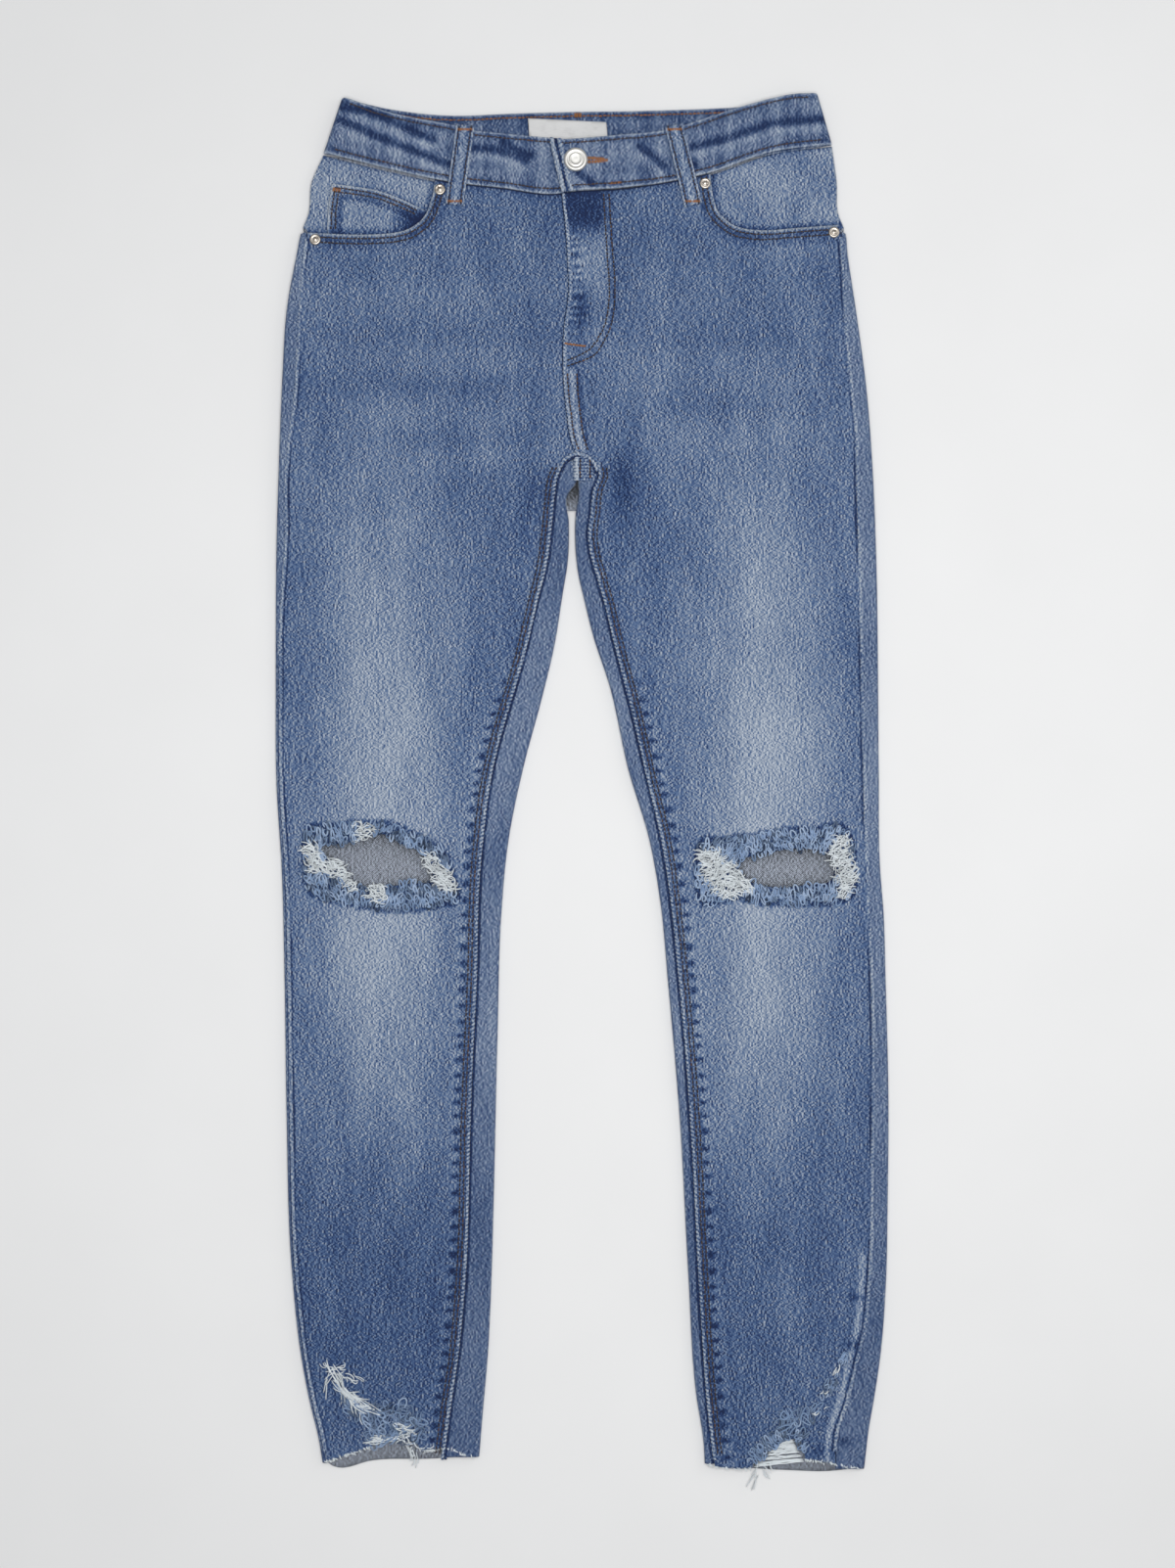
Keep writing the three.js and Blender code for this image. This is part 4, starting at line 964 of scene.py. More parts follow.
def back_panel(name, rows=356, flat_columns=26):
    """The back of a leg: along its rows from the outseam on top, round the pressed edge, across underneath,
    and round the inner edge to the inseam on top."""
    leg = LEGS[name]
    side = leg.outline(YOKE_SIDE_Y)

    def top(x):
        """The top edge: a gap below the yoke seam."""
        return yoke_seam(x, side) - GAP

    top_level = YOKE_SIDE_Y - GAP
    centre = CENTRE_X - leg.inward * GAP / 2
    level = np.linspace(HEM_LEVEL, top_level, rows + 1)[:, None]

    def edge_y(x):
        """Each level's height along a line up the leg."""
        return row_height(level, x, leg.front_hem, top, top_level)

    joined = level > CROTCH_Y
    outer_y = edge_y(leg.outline(level))
    inner_y = edge_y(np.where(joined, CENTRE_X, leg.crease(level)))
    outer_open = np.clip((level - SIDE_TURNED_Y) / (SIDE_OPEN_Y - SIDE_TURNED_Y), 0, 1)
    inner_open = np.clip((level - CROTCH_Y) / (SEAT_SEAM_END_Y - CROTCH_Y), 0, 1)
    outline = leg.outline(outer_y)
    outer = section_end(outer_y, edge_y, leg.inward, outer_open, outline, outline,
                        outline + leg.inward * (side_reach(leg, outer_y) - GAP / 2), 8, 6)
    inner = section_end(inner_y, edge_y, -leg.inward, inner_open, centre,
                        np.where(joined, centre, leg.crease(inner_y)),
                        np.where(joined, centre, leg.inseam(inner_y) + leg.inward * GAP / 2), 8, 12)
    share = np.linspace(0, 1, flat_columns + 1)[None, 1:-1]
    x = mix(outer[:, :1, 0], inner[:, :1, 0], share)
    y = row_height(level, x, leg.back_hem, top, top_level)
    waves = 0.25 * np.sin(x / 14 + y / 41) * np.sin(y / 23) * np.sin(np.pi * share)
    flat = np.stack([x, y, lower_mid(y) + np.abs(waves)], axis=-1)
    rows_of = np.concatenate([outer[:, ::-1], flat, inner], axis=1)
    across = rows_of.shape[1]
    vertices = rows_of.reshape(-1, 3)
    column = np.tile(np.arange(across), rows + 1)
    x, y, z = vertices.T
    on_top = z > upper_mid(y) - 0.6
    strip = on_top & (column > 20)
    way = -inseam_distance(leg, x, y)
    rim = smooth(np.abs(x - leg.crease(y)), 0, 8)
    vertices[:, 2] += np.where(strip, fold_lift(x, y) * rim, 0)
    tone = fade_and_shade(x, y) * np.where(on_top, 1, 0.6)
    tone += np.where(strip, -0.02 + 0.06 * np.sin(y / 37), 0)
    # painted shade inside the leg, on the bottom layer near the hem
    inner_hem_shade = np.exp(-np.abs(y - leg.back_hem(x)) / 7) * ~on_top
    tone = np.where(on_top, tone, -0.02 + 0.05 * np.sin(x / 13) * np.sin(y / 19)) - 0.25 * inner_hem_shade
    # painted shadow on the bottom layer below the rip's edge, reaching further at its top
    under_rip = nearest(x, y, rip_edge(name))[0] * np.where(y > -58, 1, 2)
    tone -= 0.42 * np.exp(-under_rip / 5) * ~on_top
    vertices[:, 2] -= np.where(strip, 0.5 * bell(way, 1.6), 0)
    if name == "left":
        tone += np.where(strip & (x > 100) & (y < -330), 0.2 * bell(way - 2.4, 1.9), 0)
    # painted shade: a dark line on the strip beside the inseam, and one beside the outseam
    shade = np.where(strip, way - 1.1, FAR)
    shade = np.where(on_top & ~strip, np.abs(x - leg.outseam(y)) + 0.2, shade)
    worn = np.abs(y - leg.back_hem(x)) + 1
    worn = np.where(np.abs(z - (lower_mid(y) + upper_mid(y)) / 2) < 1.2, 1.3, worn)
    faces = grid_faces(rows + 1, across, flip=leg.inward > 0)
    return make("back_panel_" + name, vertices, faces, cloth_finishes("denim_back"),
                {"tone": tone, "worn": worn, "shade": shade}, wall=CLOTH)


def yoke_panel(name, rows=18, columns=70):
    """The yoke: a grid from side to centre back, between the yoke seam and the waist seam."""
    leg = LEGS[name]
    centre = CENTRE_X - leg.inward * GAP / 2
    side = leg.outline(YOKE_SIDE_Y)
    share = np.linspace(0, 1, columns + 1)[None]
    up = np.linspace(0, 1, rows + 1)[:, None]
    y = YOKE_SIDE_Y + 0 * share * up
    for _ in range(ROW_PASSES):
        x = mix(leg.outline(y), centre, share)
        seam = yoke_seam(x, side)
        y = mix(seam, back_waist_seam(x) - GAP, up)
    z = lower_mid(SEAT_Y) + 0 * x
    vertices = places(x, y, z)
    worn = np.minimum(y - seam, 3) + 0.4
    faces = grid_faces(rows + 1, columns + 1, flip=leg.inward > 0)
    return make("yoke_panel_" + name, vertices, faces, cloth_finishes("denim_back"),
                {"tone": fade_and_shade(x, y), "worn": worn}, wall=CLOTH)


def facing_panel(name, inner_x, depth, rows=56, columns=70):
    """The pocket's facing: a grid from the side seam to behind the mouth, dipping to the side seam."""
    leg = LEGS[name]
    low = SEAT_FRONT - 2 * STEP + CLOTH / 2
    under = SEAT_FRONT - depth * STEP + CLOTH / 2
    share = np.linspace(0, 1, columns + 1)[None]
    up = np.linspace(0, 1, rows + 1)[:, None]
    y = MOUTH_FOOT + 0 * share * up
    for _ in range(ROW_PASSES):
        inset = GAP + 3.9 * (1 - smooth(y, SIDE_OPEN_Y - 1, SIDE_OPEN_Y + 2))
        x = mix(leg.outline(np.maximum(y, SIDE_TURNED_Y)) + leg.inward * inset, inner_x, share)
        y = mix(MOUTH_FOOT, waist_seam(x) - 3 * GAP, up)
    ripple = 0.25 * np.sin(x / 8) * np.sin(y / 11) * np.sin(np.pi * share)
    z = mix(low, under, np.minimum(share * 2, 1)) + ripple
    vertices = places(x, y, z)
    mouth = mouth_distance(name, x, y)
    # painted shadow under the front's mouth edge
    tone = (0.22 if name == "right" else 0.165) - 0.36 * bell(mouth, 3.2) + 0.05 * np.sin(x / 13 + y / 9)
    # painted shadow below the waistband
    tone -= 0.2 * bell(waist_seam(x) - y, 3)
    if name == "right":
        # painted shadow under the coin pocket's top edge
        tone -= 0.16 * bell(nearest(x, y, spline(COIN_TOP, 16))[0], 2.2)
    else:
        tone -= 0.12 * np.exp(-(((x - 152) / 6) ** 2) - (((y - 412) / 10) ** 2))
    faces = grid_faces(rows + 1, columns + 1, flip=leg.inward < 0)
    worn = np.abs(x - leg.outline(y)) + 0.5
    return make("pocket_facing_panel_" + name, vertices, faces, cloth_finishes("denim_face"),
                {"tone": tone, "worn": worn}, wall=CLOTH)


def patch(name, outline, z, spacing, materials, worn_line, relief=None, tone=None, flip=False, wall=CLOTH):
    """A flat piece of any outline: a square grid cut to the outline, its rim drawn onto it."""
    outline = np.asarray(outline, float)
    low, high = outline.min(axis=0) - spacing, outline.max(axis=0) + spacing
    nx, ny = np.ceil((high - low) / spacing).astype(int)
    x, y = np.meshgrid(np.linspace(low[0], high[0], nx + 1), np.linspace(low[1], high[1], ny + 1))
    vertices = places(x, y, 0 * x + z)
    faces = grid_faces(ny + 1, nx + 1, flip=flip)
    vertices, faces = trim(vertices, faces, outline, True, spacing)
    x, y = vertices[:, 0], vertices[:, 1]
    if relief is not None:
        vertices[:, 2] += relief(x, y)
    worn = nearest(x, y, worn_line)[0]
    return make(name, vertices, faces, materials,
                {"tone": tone(x, y) if tone else np.zeros(len(x)), "worn": worn}, wall=wall)


def pocket_corners(name):
    """A back pocket's corners, turned by its lean and set in place."""
    x, y, lean = BACK_POCKETS[name]
    shape = np.array(POCKET_SHAPE, float)
    turn = np.array([[np.cos(lean), np.sin(lean)], [-np.sin(lean), np.cos(lean)]])
    return shape @ turn + np.array([x, y])


# ---- Waistband ----
def band_line(name, t_front=BAND_STEPS, t_edge=8, t_back=96):
    """The waistband's sections from the front end round to the centre back: the top and bottom of each,
    its height, and the way it faces."""
    leg, band = LEGS[name], BANDS[name]
    lap = LAP_RISE if name == "left" else 0
    radius = (BAND_FRONT - BAND_BACK) / 2
    corner_top, corner_bottom = (np.array(c, float) for c in band["corner"])
    inset = leg.inward * (radius + BAND / 2)
    start_x, end_x = band["end"][0][0], corner_top[0]
    front = spline([band["end"][0], *band["top"], corner_top], t_front)
    share = np.linspace(0, 1, t_front + 1)
    reach = (front[:, 0] - start_x) / (end_x - start_x)
    bottom_x = mix(band["end"][1][0], corner_bottom[0], reach)
    bottom = np.stack([bottom_x, waist_seam(bottom_x)], axis=1)
    shift = inset * share
    rise = lap * (1 - smooth(front[:, 0] + shift, LAP_FLAT_X, LAP_DOWN_X))
    parts = [(front, bottom, BAND_FRONT + rise, 0 * share, 1 + 0 * share, shift)]
    angle = np.pi * np.arange(1, t_edge) / t_edge
    ones = np.ones(len(angle))[:, None]
    out = -leg.inward * np.sin(angle)
    parts.append((corner_top * ones, corner_bottom * ones, BAND_BACK + radius + radius * np.cos(angle), out,
                  np.cos(angle), inset + out * radius))
    back = spline([corner_top, *band["back"], band["centre"]], t_back)
    share = np.linspace(0, 1, t_back + 1)
    reach = (back[:, 0] - corner_top[0]) / (band["centre"][0] - corner_top[0])
    bottom_x = mix(corner_bottom[0], band["centre"][0], reach)
    bottom = np.stack([bottom_x, back_waist_seam(bottom_x)], axis=1)
    parts.append((back, bottom, BAND_BACK + 0 * share, 0 * share, -1 + 0 * share, inset * (1 - share)))
    return tuple(np.concatenate([np.asarray(p[k]) for p in parts]) for k in range(6))


def crease_depth(x, y):
    """How deep the band's creases are: a bell across each crease's line, added up to a limit."""
    depth = np.zeros(np.shape(x))
    for line in BAND_CREASES:
        depth = depth + bell(nearest(x, y, np.array(line, float))[0], 2.8)
    return np.minimum(depth, 1.2)


def band_relief(x, y, s):
    """Waves, creases and sewn edges of the band's face; s runs from its top to its bottom."""
    sewn = bell(s - 0.075, 0.03) + bell(s - 0.925, 0.03)
    waves = 0.22 * np.sin(x / 5.3 + 2.2 * np.sin(y / 9)) * np.sin(np.pi * s) + 0.18 * np.sin(x / 11.7 + 1)
    return waves - 0.35 * sewn - 0.7 * crease_depth(x, y)


def waistband(name, across=22):
    """The folded band: a flat round-cornered loop carried from front to back."""
    leg = LEGS[name]
    top, bottom, height, nx, nz, shift = band_line(name)
    round_steps = np.linspace(0, np.pi, 7)[1:-1]
    edge_share = BAND / 2 / BAND_DEPTH
    s_out = np.linspace(edge_share, 1 - edge_share, across)
    s = np.concatenate([s_out, 1 - edge_share + edge_share * np.sin(round_steps), s_out[::-1],
                        edge_share - edge_share * np.sin(round_steps)])
    out = np.concatenate([np.ones(across), np.cos(round_steps), -np.ones(across), -np.cos(round_steps)])
    x = mix(top[:, :1], bottom[:, :1], s[None]) + shift[:, None]
    y = mix(top[:, 1:], bottom[:, 1:], s[None])
    z = height[:, None] + 0 * x
    facing_up = np.maximum(nz, 0)[:, None]
    from_end = np.abs(x - x[:1])
    relief = band_relief(x, y, s[None])
    if name == "left":
        relief += 0.4 * bell(from_end - 6, 1.4) - 0.5 * bell(from_end - 3.4, 1.2)
    relief = relief * (out > 0.5)[None] * facing_up
    reach = out[None] * BAND / 2 + relief
    px, pz = x + nx[:, None] * reach, z + nz[:, None] * reach
    vertices = places(px, y, pz)
    count, ring = x.shape
    faces = grid_faces(count, ring, wrap=True, flip=leg.inward < 0)
    ids = np.arange(ring)[:: -leg.inward]
    caps = [ids, ids[::-1] + (count - 1) * ring]
    streak = 0.07 * np.sin(x / 1.9 + 3 * np.sin(x / 13)) + 0.05 * np.sin(x / 4.3 + 1)
    # painted shade in the creases and a painted highlight beside each, on the up-facing side only
    tone = streak + fade_and_shade(x, y) * 0.3 + (0.16 * crease_depth(x, y + 6) - 0.5 * crease_depth(x, y)) * facing_up
    lap = np.array(BANDS["left"]["end"], float)
    if name == "left":
        # the lap's end: a light worn ridge and painted shade in the trough beside it
        tone += 0.3 * bell(from_end - 6, 1.2) - 0.3 * bell(from_end - 3.4, 1.2)
    else:
        # painted shadow of the left band's lap end on the right band
        tone -= 0.45 * bell(nearest(x - 1.5, y, lap)[0], 2.4)
    tone -= 0.2 * (bell(s - 0.085, 0.035) + bell(s - 0.91, 0.035))[None]
    # painted shade on the side that faces down
    tone -= 0.12 * (1 - facing_up)
    lap_end = from_end if name == "left" else FAR
    rim = np.minimum(s, 1 - s)[None] * BAND_DEPTH
    worn = np.minimum(rim + 0 * x, lap_end + 0.2)
    return make("waistband_" + name + "_cloth", vertices, faces, [finish_of("denim_band")],
                {"tone": tone, "worn": worn}, ends=caps)


def band_row(name, share):
    """A line along the front of the band, a share of the way down."""
    top, bottom, height, _, _, shift = band_line(name)
    count = BAND_STEPS + 1
    x = mix(top[:count, 0], bottom[:count, 0], share) + shift[:count]
    y = mix(top[:count, 1], bottom[:count, 1], share)
    z = height[:count] + BAND / 2 + band_relief(x, y, share)
    return np.stack([x, y, z], axis=1)


# ---- Belt loops ----
def strap(name, path, width, thickness, material, steps=40):
    """A sewn strap: a flat oval section, ridged between its two stitch rows, carried along a path."""
    path = even(path, steps)
    side, up = square_to(path)
    a = np.linspace(0, 2 * np.pi, 36, endpoint=False)
    u = np.sign(np.cos(a)) * np.abs(np.cos(a)) ** 0.35
    v = np.sign(np.sin(a)) * np.abs(np.sin(a)) ** 0.5
    ridge = 0.35 * bell(u, 0.35) + 0.3 * bell(np.abs(u) - 0.92, 0.12)
    w, t = u * width / 2, v * thickness / 2 + np.where(v > 0.3, ridge, 0)
    vertices = path[:, None] + side[:, None] * w[None, :, None] + up[:, None] * t[None, :, None]
    faces = grid_faces(len(path), len(a), wrap=True, flip=True)
    tone = 0.12 + 0.14 * bell(u, 0.3) - 0.22 * bell(np.abs(u) - 0.68, 0.14)
    worn = (1 - np.abs(u)) * width / 2 + 0.3
    ones = np.ones((len(path), 1))
    shades = {"tone": ones * tone, "worn": ones * worn}
    return make(name, vertices.reshape(-1, 3), faces, [material], shades, ends=end_caps(len(path), len(a)))


def front_loop_path(name):
    """A line down over the band that dips to the panel at its foot and bows up in its middle."""
    (x0, y0), (x1, y1) = LOOPS_FRONT[name]
    t = np.linspace(0, 1, 41)
    over = BAND_FRONT + BAND / 2 + GAP + CLOTH / 2
    on_panel = SEAT_FRONT + CLOTH + GAP + CLOTH / 2
    z = mix(over, on_panel, smooth(t, 0.8, 0.97)) + 1.1 * np.sin(np.pi * t)
    return np.stack([mix(x0, x1, t), mix(y0, y1, t), z], axis=1)


def back_loop_path(name):
    """A straight line down, flat on the surface."""
    x, y = LOOPS_BACK[name]
    t = np.linspace(0, 1, 21)
    return np.stack([x + 0 * t, y - 56 * t, 0.62 + 0 * t], axis=1)


# ---- Fittings ----
def turned(name, profile, x, y, z, material, sides=64):
    """A turned form: a profile of radius and height carried round an upright axis, closed at the poles."""
    profile = np.array(profile, float)
    angle = np.linspace(0, 2 * np.pi, sides, endpoint=False)
    r, h = profile[1:-1].T
    ring = places(x + r[:, None] * np.cos(angle), y + r[:, None] * np.sin(angle), z + h[:, None] + 0 * angle)
    poles = np.array([[x, y, z + profile[0, 1]], [x, y, z + profile[-1, 1]]])
    vertices = np.vstack([ring, poles])
    rows = len(r)
    faces = grid_faces(rows, sides, wrap=True)
    last = rows * sides
    k = np.arange(sides)
    following = (k + 1) % sides
    foot = np.stack([following, k, np.full(sides, last)], axis=1)
    head = np.stack([last - sides + k, last - sides + following, np.full(sides, last + 1)], axis=1)
    return make(name, vertices, faces, [material], {"tone": np.zeros(len(vertices))}, ends=[*foot, *head])


# ---- Panel settings ----
def shade_of(name, description, default):
    """A colour that the sidebar shows."""
    return bpy.props.FloatVectorProperty(name=name, description=description, default=default,
                                         subtype="COLOR", size=3, min=0, max=1)


def length_of(name, description, default, low, high):
    """A length that the sidebar shows."""
    return bpy.props.FloatProperty(name=name, description=description, default=default, min=low, max=high,
                                   unit="LENGTH", precision=5)


class JeansColours(bpy.types.PropertyGroup):
    """Colours of the cloth, threads, label and floor"""

    indigo_dark: shade_of("Dark indigo", "Unfaded denim", (0.15, 0.245, 0.42))
    indigo_mid: shade_of("Mid blue", "The cloth's main colour", (0.33, 0.425, 0.57))
    indigo_light: shade_of("Faded blue", "Thighs and knees", (0.545, 0.592, 0.662))
    indigo_worn: shade_of("Worn edge", "Edges rubbed pale", (0.71, 0.745, 0.79))
    wrong_side: shade_of("Wrong side", "The inside of the cloth", (0.535, 0.56, 0.605))
    thread_brown: shade_of("Brown thread", "Top-stitching", (0.27, 0.225, 0.22))
    thread_tan: shade_of("Tan thread", "Bartacks and buttonhole", (0.59, 0.39, 0.21))
    yarn_blue: shade_of("Frayed blue yarn", "Curls round the rips", (0.435, 0.522, 0.645))
    weft_white: shade_of("Weft thread", "White threads in the rips", (0.9, 0.925, 0.94))
    label: shade_of("Label", "The bare satin label", (0.8, 0.8, 0.8))
    floor: shade_of("Floor", "The plain pale floor", (0.905, 0.905, 0.905))


class JeansSizes(bpy.types.PropertyGroup):
    """Thread sizes and the camera's view"""

    stitch_radius: length_of("Stitch radius", "Half the sewing thread's width", 0.55 * MM, 0.1 * MM, 1 * MM)
    yarn_radius: length_of("Yarn radius", "Half the width of a frayed yarn", 0.62 * MM, 0.1 * MM, 1.2 * MM)
    camera_height: length_of("Camera height", "Height above the floor", 1.8, 0.5, 5)
    field: length_of("Field height", "Length taken in", 1.1214, 0.2, 4)
    fringe_seed: bpy.props.IntProperty(name="Fringe seed", default=7,
                                       description="Which way the loose yarns fall")


class JEANS_OT_stage(bpy.types.Operator):
    """Lay the pale floor, hang the soft lights and set the camera straight above"""

    bl_idname = "jeans.stage"
    bl_label = "Stage"

    def execute(self, context):
        sizes, colours = context.scene.jeans_sizes, context.scene.jeans_colours
        reach = 3 / MM
        ground = np.array([(-reach, -reach, 0), (reach, -reach, 0), (reach, reach, 0), (-reach, reach, 0)])
        floor = make("studio_floor", ground, np.array([[0, 1, 2, 3]]), [floor_finish(colours.floor[:])])
        world = bpy.data.worlds.new("studio_air")
        world.use_nodes = True
        air = world.node_tree.nodes["Background"]
        air.inputs["Color"].default_value = (0.97, 0.985, 1.0, 1.0)
        air.inputs["Strength"].default_value = 0.36
        context.scene.world = world
        for name, place, turn, size, power in (
            ("soft_over", (0.08, 0.02, 1.8), (0, 0.03, 0), 1.05, 24),
            ("soft_side", (1.4, 0.5, 0.9), (-0.4, 0.98, 0), 0.8, 3),
        ):
            lamp = bpy.data.lights.new(name, "AREA")
            lamp.shape, lamp.size, lamp.size_y = "RECTANGLE", size, size
            lamp.energy = power
            light = bpy.data.objects.new(name, lamp)
            light.location, light.rotation_euler = place, turn
            context.scene.collection.objects.link(light)
        view = bpy.data.cameras.new("view")
        view.sensor_width = 36
        view.lens = 36 * (sizes.camera_height - 6 * MM) / sizes.field
        camera = bpy.data.objects.new("view", view)
        camera.location = (3.9 * MM, -0.66 * MM, sizes.camera_height)
        context.scene.collection.objects.link(camera)
        context.scene.camera = camera
        context.scene.view_settings.view_transform = "Standard"
        return {"FINISHED"}


class JEANS_OT_back_panels(bpy.types.Operator):
    """Lay the two back panels, turned round the legs' pressed edges to the seams on top"""

    bl_idname = "jeans.back_panels"
    bl_label = "Back panels"

    def execute(self, context):
        for name in LEGS:
            cloth_piece(back_panel(name), ["back_" + name])
        return {"FINISHED"}


class JEANS_OT_front_panels(bpy.types.Operator):
    """Lay the two front panels with their folds, ripped knees and cut hems"""

    bl_idname = "jeans.front_panels"
    bl_label = "Front panels"

    def execute(self, context):
        for name in LEGS:
            cloth_piece(front_panel(name), ["front_" + name])
        return {"FINISHED"}


class JEANS_OT_yokes(bpy.types.Operator):
    """Lay the two yokes above the back panels"""

    bl_idname = "jeans.yokes"
    bl_label = "Yokes"

    def execute(self, context):
        for name in LEGS:
            cloth_piece(yoke_panel(name), ["yoke_" + name])
        return {"FINISHED"}


class JEANS_OT_pockets(bpy.types.Operator):
    """Lay the back pockets, the front pockets' facings and the coin pocket"""

    bl_idname = "jeans.pockets"
    bl_label = "Pockets"

    def execute(self, context):
        face = cloth_finishes("denim_back")
        for name in LEGS:
            corners = pocket_corners(name)
            loop = np.vstack([corners, corners[:1]])
            piece = patch("back_pocket_cloth_" + name, corners, CLOTH / 2, 2.6, face, loop, flip=True,
                          tone=lambda x, y: 0.06 * np.sin(x / 19) * np.sin(y / 17) + 0.04)
            cloth_piece(piece, ["back_pocket_" + name])
        for name, inner_x, depth in (("right", -92, 2), ("left", 80, 1)):
            piece = facing_panel(name, inner_x, depth)
            cloth_piece(piece, ["pocket_facing_" + name])
        top = spline(COIN_TOP, 24)
        outline = np.vstack([top, [(-108, 378), (-178, 380), (-182, 396), (-181, 412)]])
        rim = np.vstack([outline[-3:], top])
        hem = 6.5

        def relief(x, y):
            """A raised hem along the rim, and slow waves."""
            away = nearest(x, y, rim)[0]
            return 0.5 * (1 - smooth(away, hem - 2, hem)) + 0.2 * np.sin(x / 9) * np.sin(y / 7)

        def tone(x, y):
            """Light cloth, with painted shade along the hem, under the mouth's edge and in a spot by it."""
            away = nearest(x, y, rim)[0]
            under = mouth_distance("right", x, y)
            return (0.2 - 0.2 * bell(away - 4, 2.2) - 0.3 * bell(away - 8.5, 2)
                    - 0.4 * bell(under, 3.5) - 0.5 * np.exp(-(((x + 122) / 12) ** 2) - ((y - 402) / 8) ** 2))

        piece = patch("coin_pocket_cloth", outline, SEAT_FRONT - STEP + CLOTH / 2, 1.5,
                      cloth_finishes("denim_face"), rim, relief, tone)
        cloth_piece(piece, ["coin_pocket"])
        return {"FINISHED"}


class JEANS_OT_waistband(bpy.types.Operator):
    """Fold the waistband round from the button to the centre back"""

    bl_idname = "jeans.waistband"
    bl_label = "Waistband"

    def execute(self, context):
        for name, width in (("right", 0.372), ("left", 0.378)):
            cloth_piece(waistband(name), ["waistband_" + name])
        return {"FINISHED"}


class JEANS_OT_belt_loops(bpy.types.Operator):
    """Sew on the five belt loops"""

    bl_idname = "jeans.belt_loops"
    bl_label = "Belt loops"

    def execute(self, context):
        cloth = finish_of("denim_face")
        for name in LOOPS_FRONT:
            piece = strap("belt_loop_front_" + name, front_loop_path(name), LOOP_WIDTH, 1.4, cloth)
            cloth_piece(piece, ["loop_front_" + name])
        for name in LOOPS_BACK:
            piece = strap("belt_loop_back_" + name, back_loop_path(name), LOOP_WIDTH, 1.2, cloth)
            cloth_piece(piece, ["loop_back_" + name])
        return {"FINISHED"}


class JEANS_OT_label(bpy.types.Operator):
    """Sew the bare satin label inside the back of the waistband"""

    bl_idname = "jeans.label"
    bl_label = "Label"

    def execute(self, context):
        corners = np.array(LABEL, float)
        z = STEP + BAND + 2 * GAP
        piece = patch("satin_label", corners, z, 1.6, [finish_of("satin")], np.vstack([corners, corners[:1]]),
                      relief=lambda x, y: 0.2 * np.sin(x / 7) * np.sin(y / 6), wall=0.5)
        cloth_piece(piece, ["label"])
        return {"FINISHED"}


class JEANS_OT_fly_zip(bpy.types.Operator):
    """Close the zip behind the fly: tape, two rows of teeth and the slider"""

    bl_idname = "jeans.fly_zip"
    bl_label = "Fly zip"

    def execute(self, context):
        z = SEAT_FRONT - STEP - 0.3
        tape_line = [(-28, 322), (4, 322), (6, 419), (-28, 419)]
        tape = patch("zip_tape", tape_line, z + 0.5, 2.5, [finish_of("denim_wrong")], tape_line, wall=0.6)
        count = 44
        y = np.linspace(324, 401, count)
        side = np.where(np.arange(count) % 2 == 0, -1.0, 1.0)
        t = np.array([0.0, 0.5, 1.0])[None, :, None]
        start = np.stack([-11 + side * 2.6, y, np.full(count, z + 0.75)], axis=1)
        stop = np.stack([-11 - side * 0.5, y, np.full(count, z + 0.75)], axis=1)
        paths = mix(start[:, None], stop[:, None], t)
        brass = finish_of("brass")
        teeth = tube_object("zip_teeth", paths, np.full((count, 3), 0.42), brass, np.zeros(count))
        body = strap("zip_slider", [(-11, y, z + 0.1) for y in (404, 410, 416)], 7.6, 1.1, brass, 8)
        for piece in (teeth, body):
            fitting(piece, [])
        cloth_piece(tape, ["fly_zip"])
        return {"FINISHED"}


class JEANS_OT_fittings(bpy.types.Operator):
    """Turn the button and the four rivets"""

    bl_idname = "jeans.fittings"
    bl_label = "Button and rivets"

    def execute(self, context):
        r = BUTTON_RADIUS
        base = BAND_FRONT + BAND / 2 + GAP
        cap = LAP_RISE
        profile = [(0, 0), (2.2, 0), (2.2, cap + 0.3), (r - 1, cap + 0.3), (r - 0.3, cap + 0.6), (r, cap + 1.2),
                   (r - 0.2, cap + 1.8), (r - 0.8, cap + 2.4), (r - 1.6, cap + 2.7), (r - 2.3, cap + 2.6),
                   (r - 2.9, cap + 2.25), (r - 3.4, cap + 2.1), (r - 3.8, cap + 2.3), (r - 4.2, cap + 2.55),
                   (r - 4.7, cap + 2.5), (r - 5.1, cap + 2.2), (r - 5.8, cap + 2.1), (1.2, cap + 2.15),
                   (0, cap + 2.2)]
        piece = turned("shank_button", profile, *BUTTON, base, finish_of("nickel"))
        fitting(piece, ["button"])
        on_front = SEAT_FRONT + CLOTH
        for name, leg, x, y in (("top", "right", -101.2, 424), ("side", "right", -190.2, 388.2),
                                ("top", "left", 88.2, 428.4), ("side", "left", 180.2, 393.4)):
            k = RIVET_RADIUS
            rivet = [(0, -0.6), (k * 0.96, -0.6), (k, 0.25), (k * 0.97, 0.6), (k * 0.86, 0.95), (k * 0.72, 1.1),
                     (k * 0.6, 0.95), (k * 0.52, 0.75), (k * 0.44, 0.85), (k * 0.3, 1.25), (k * 0.12, 1.4),
                     (0, 1.42)]
            z = max(on_front + GAP, float(front_top(leg, np.array([x]), np.array([y]))[0]) + 0.1)
            piece = turned("rivet_cap_" + leg + "_" + name, rivet, x, y, z, finish_of("copper"), 40)
            fitting(piece, ["rivet_" + leg + "_" + name])
        return {"FINISHED"}


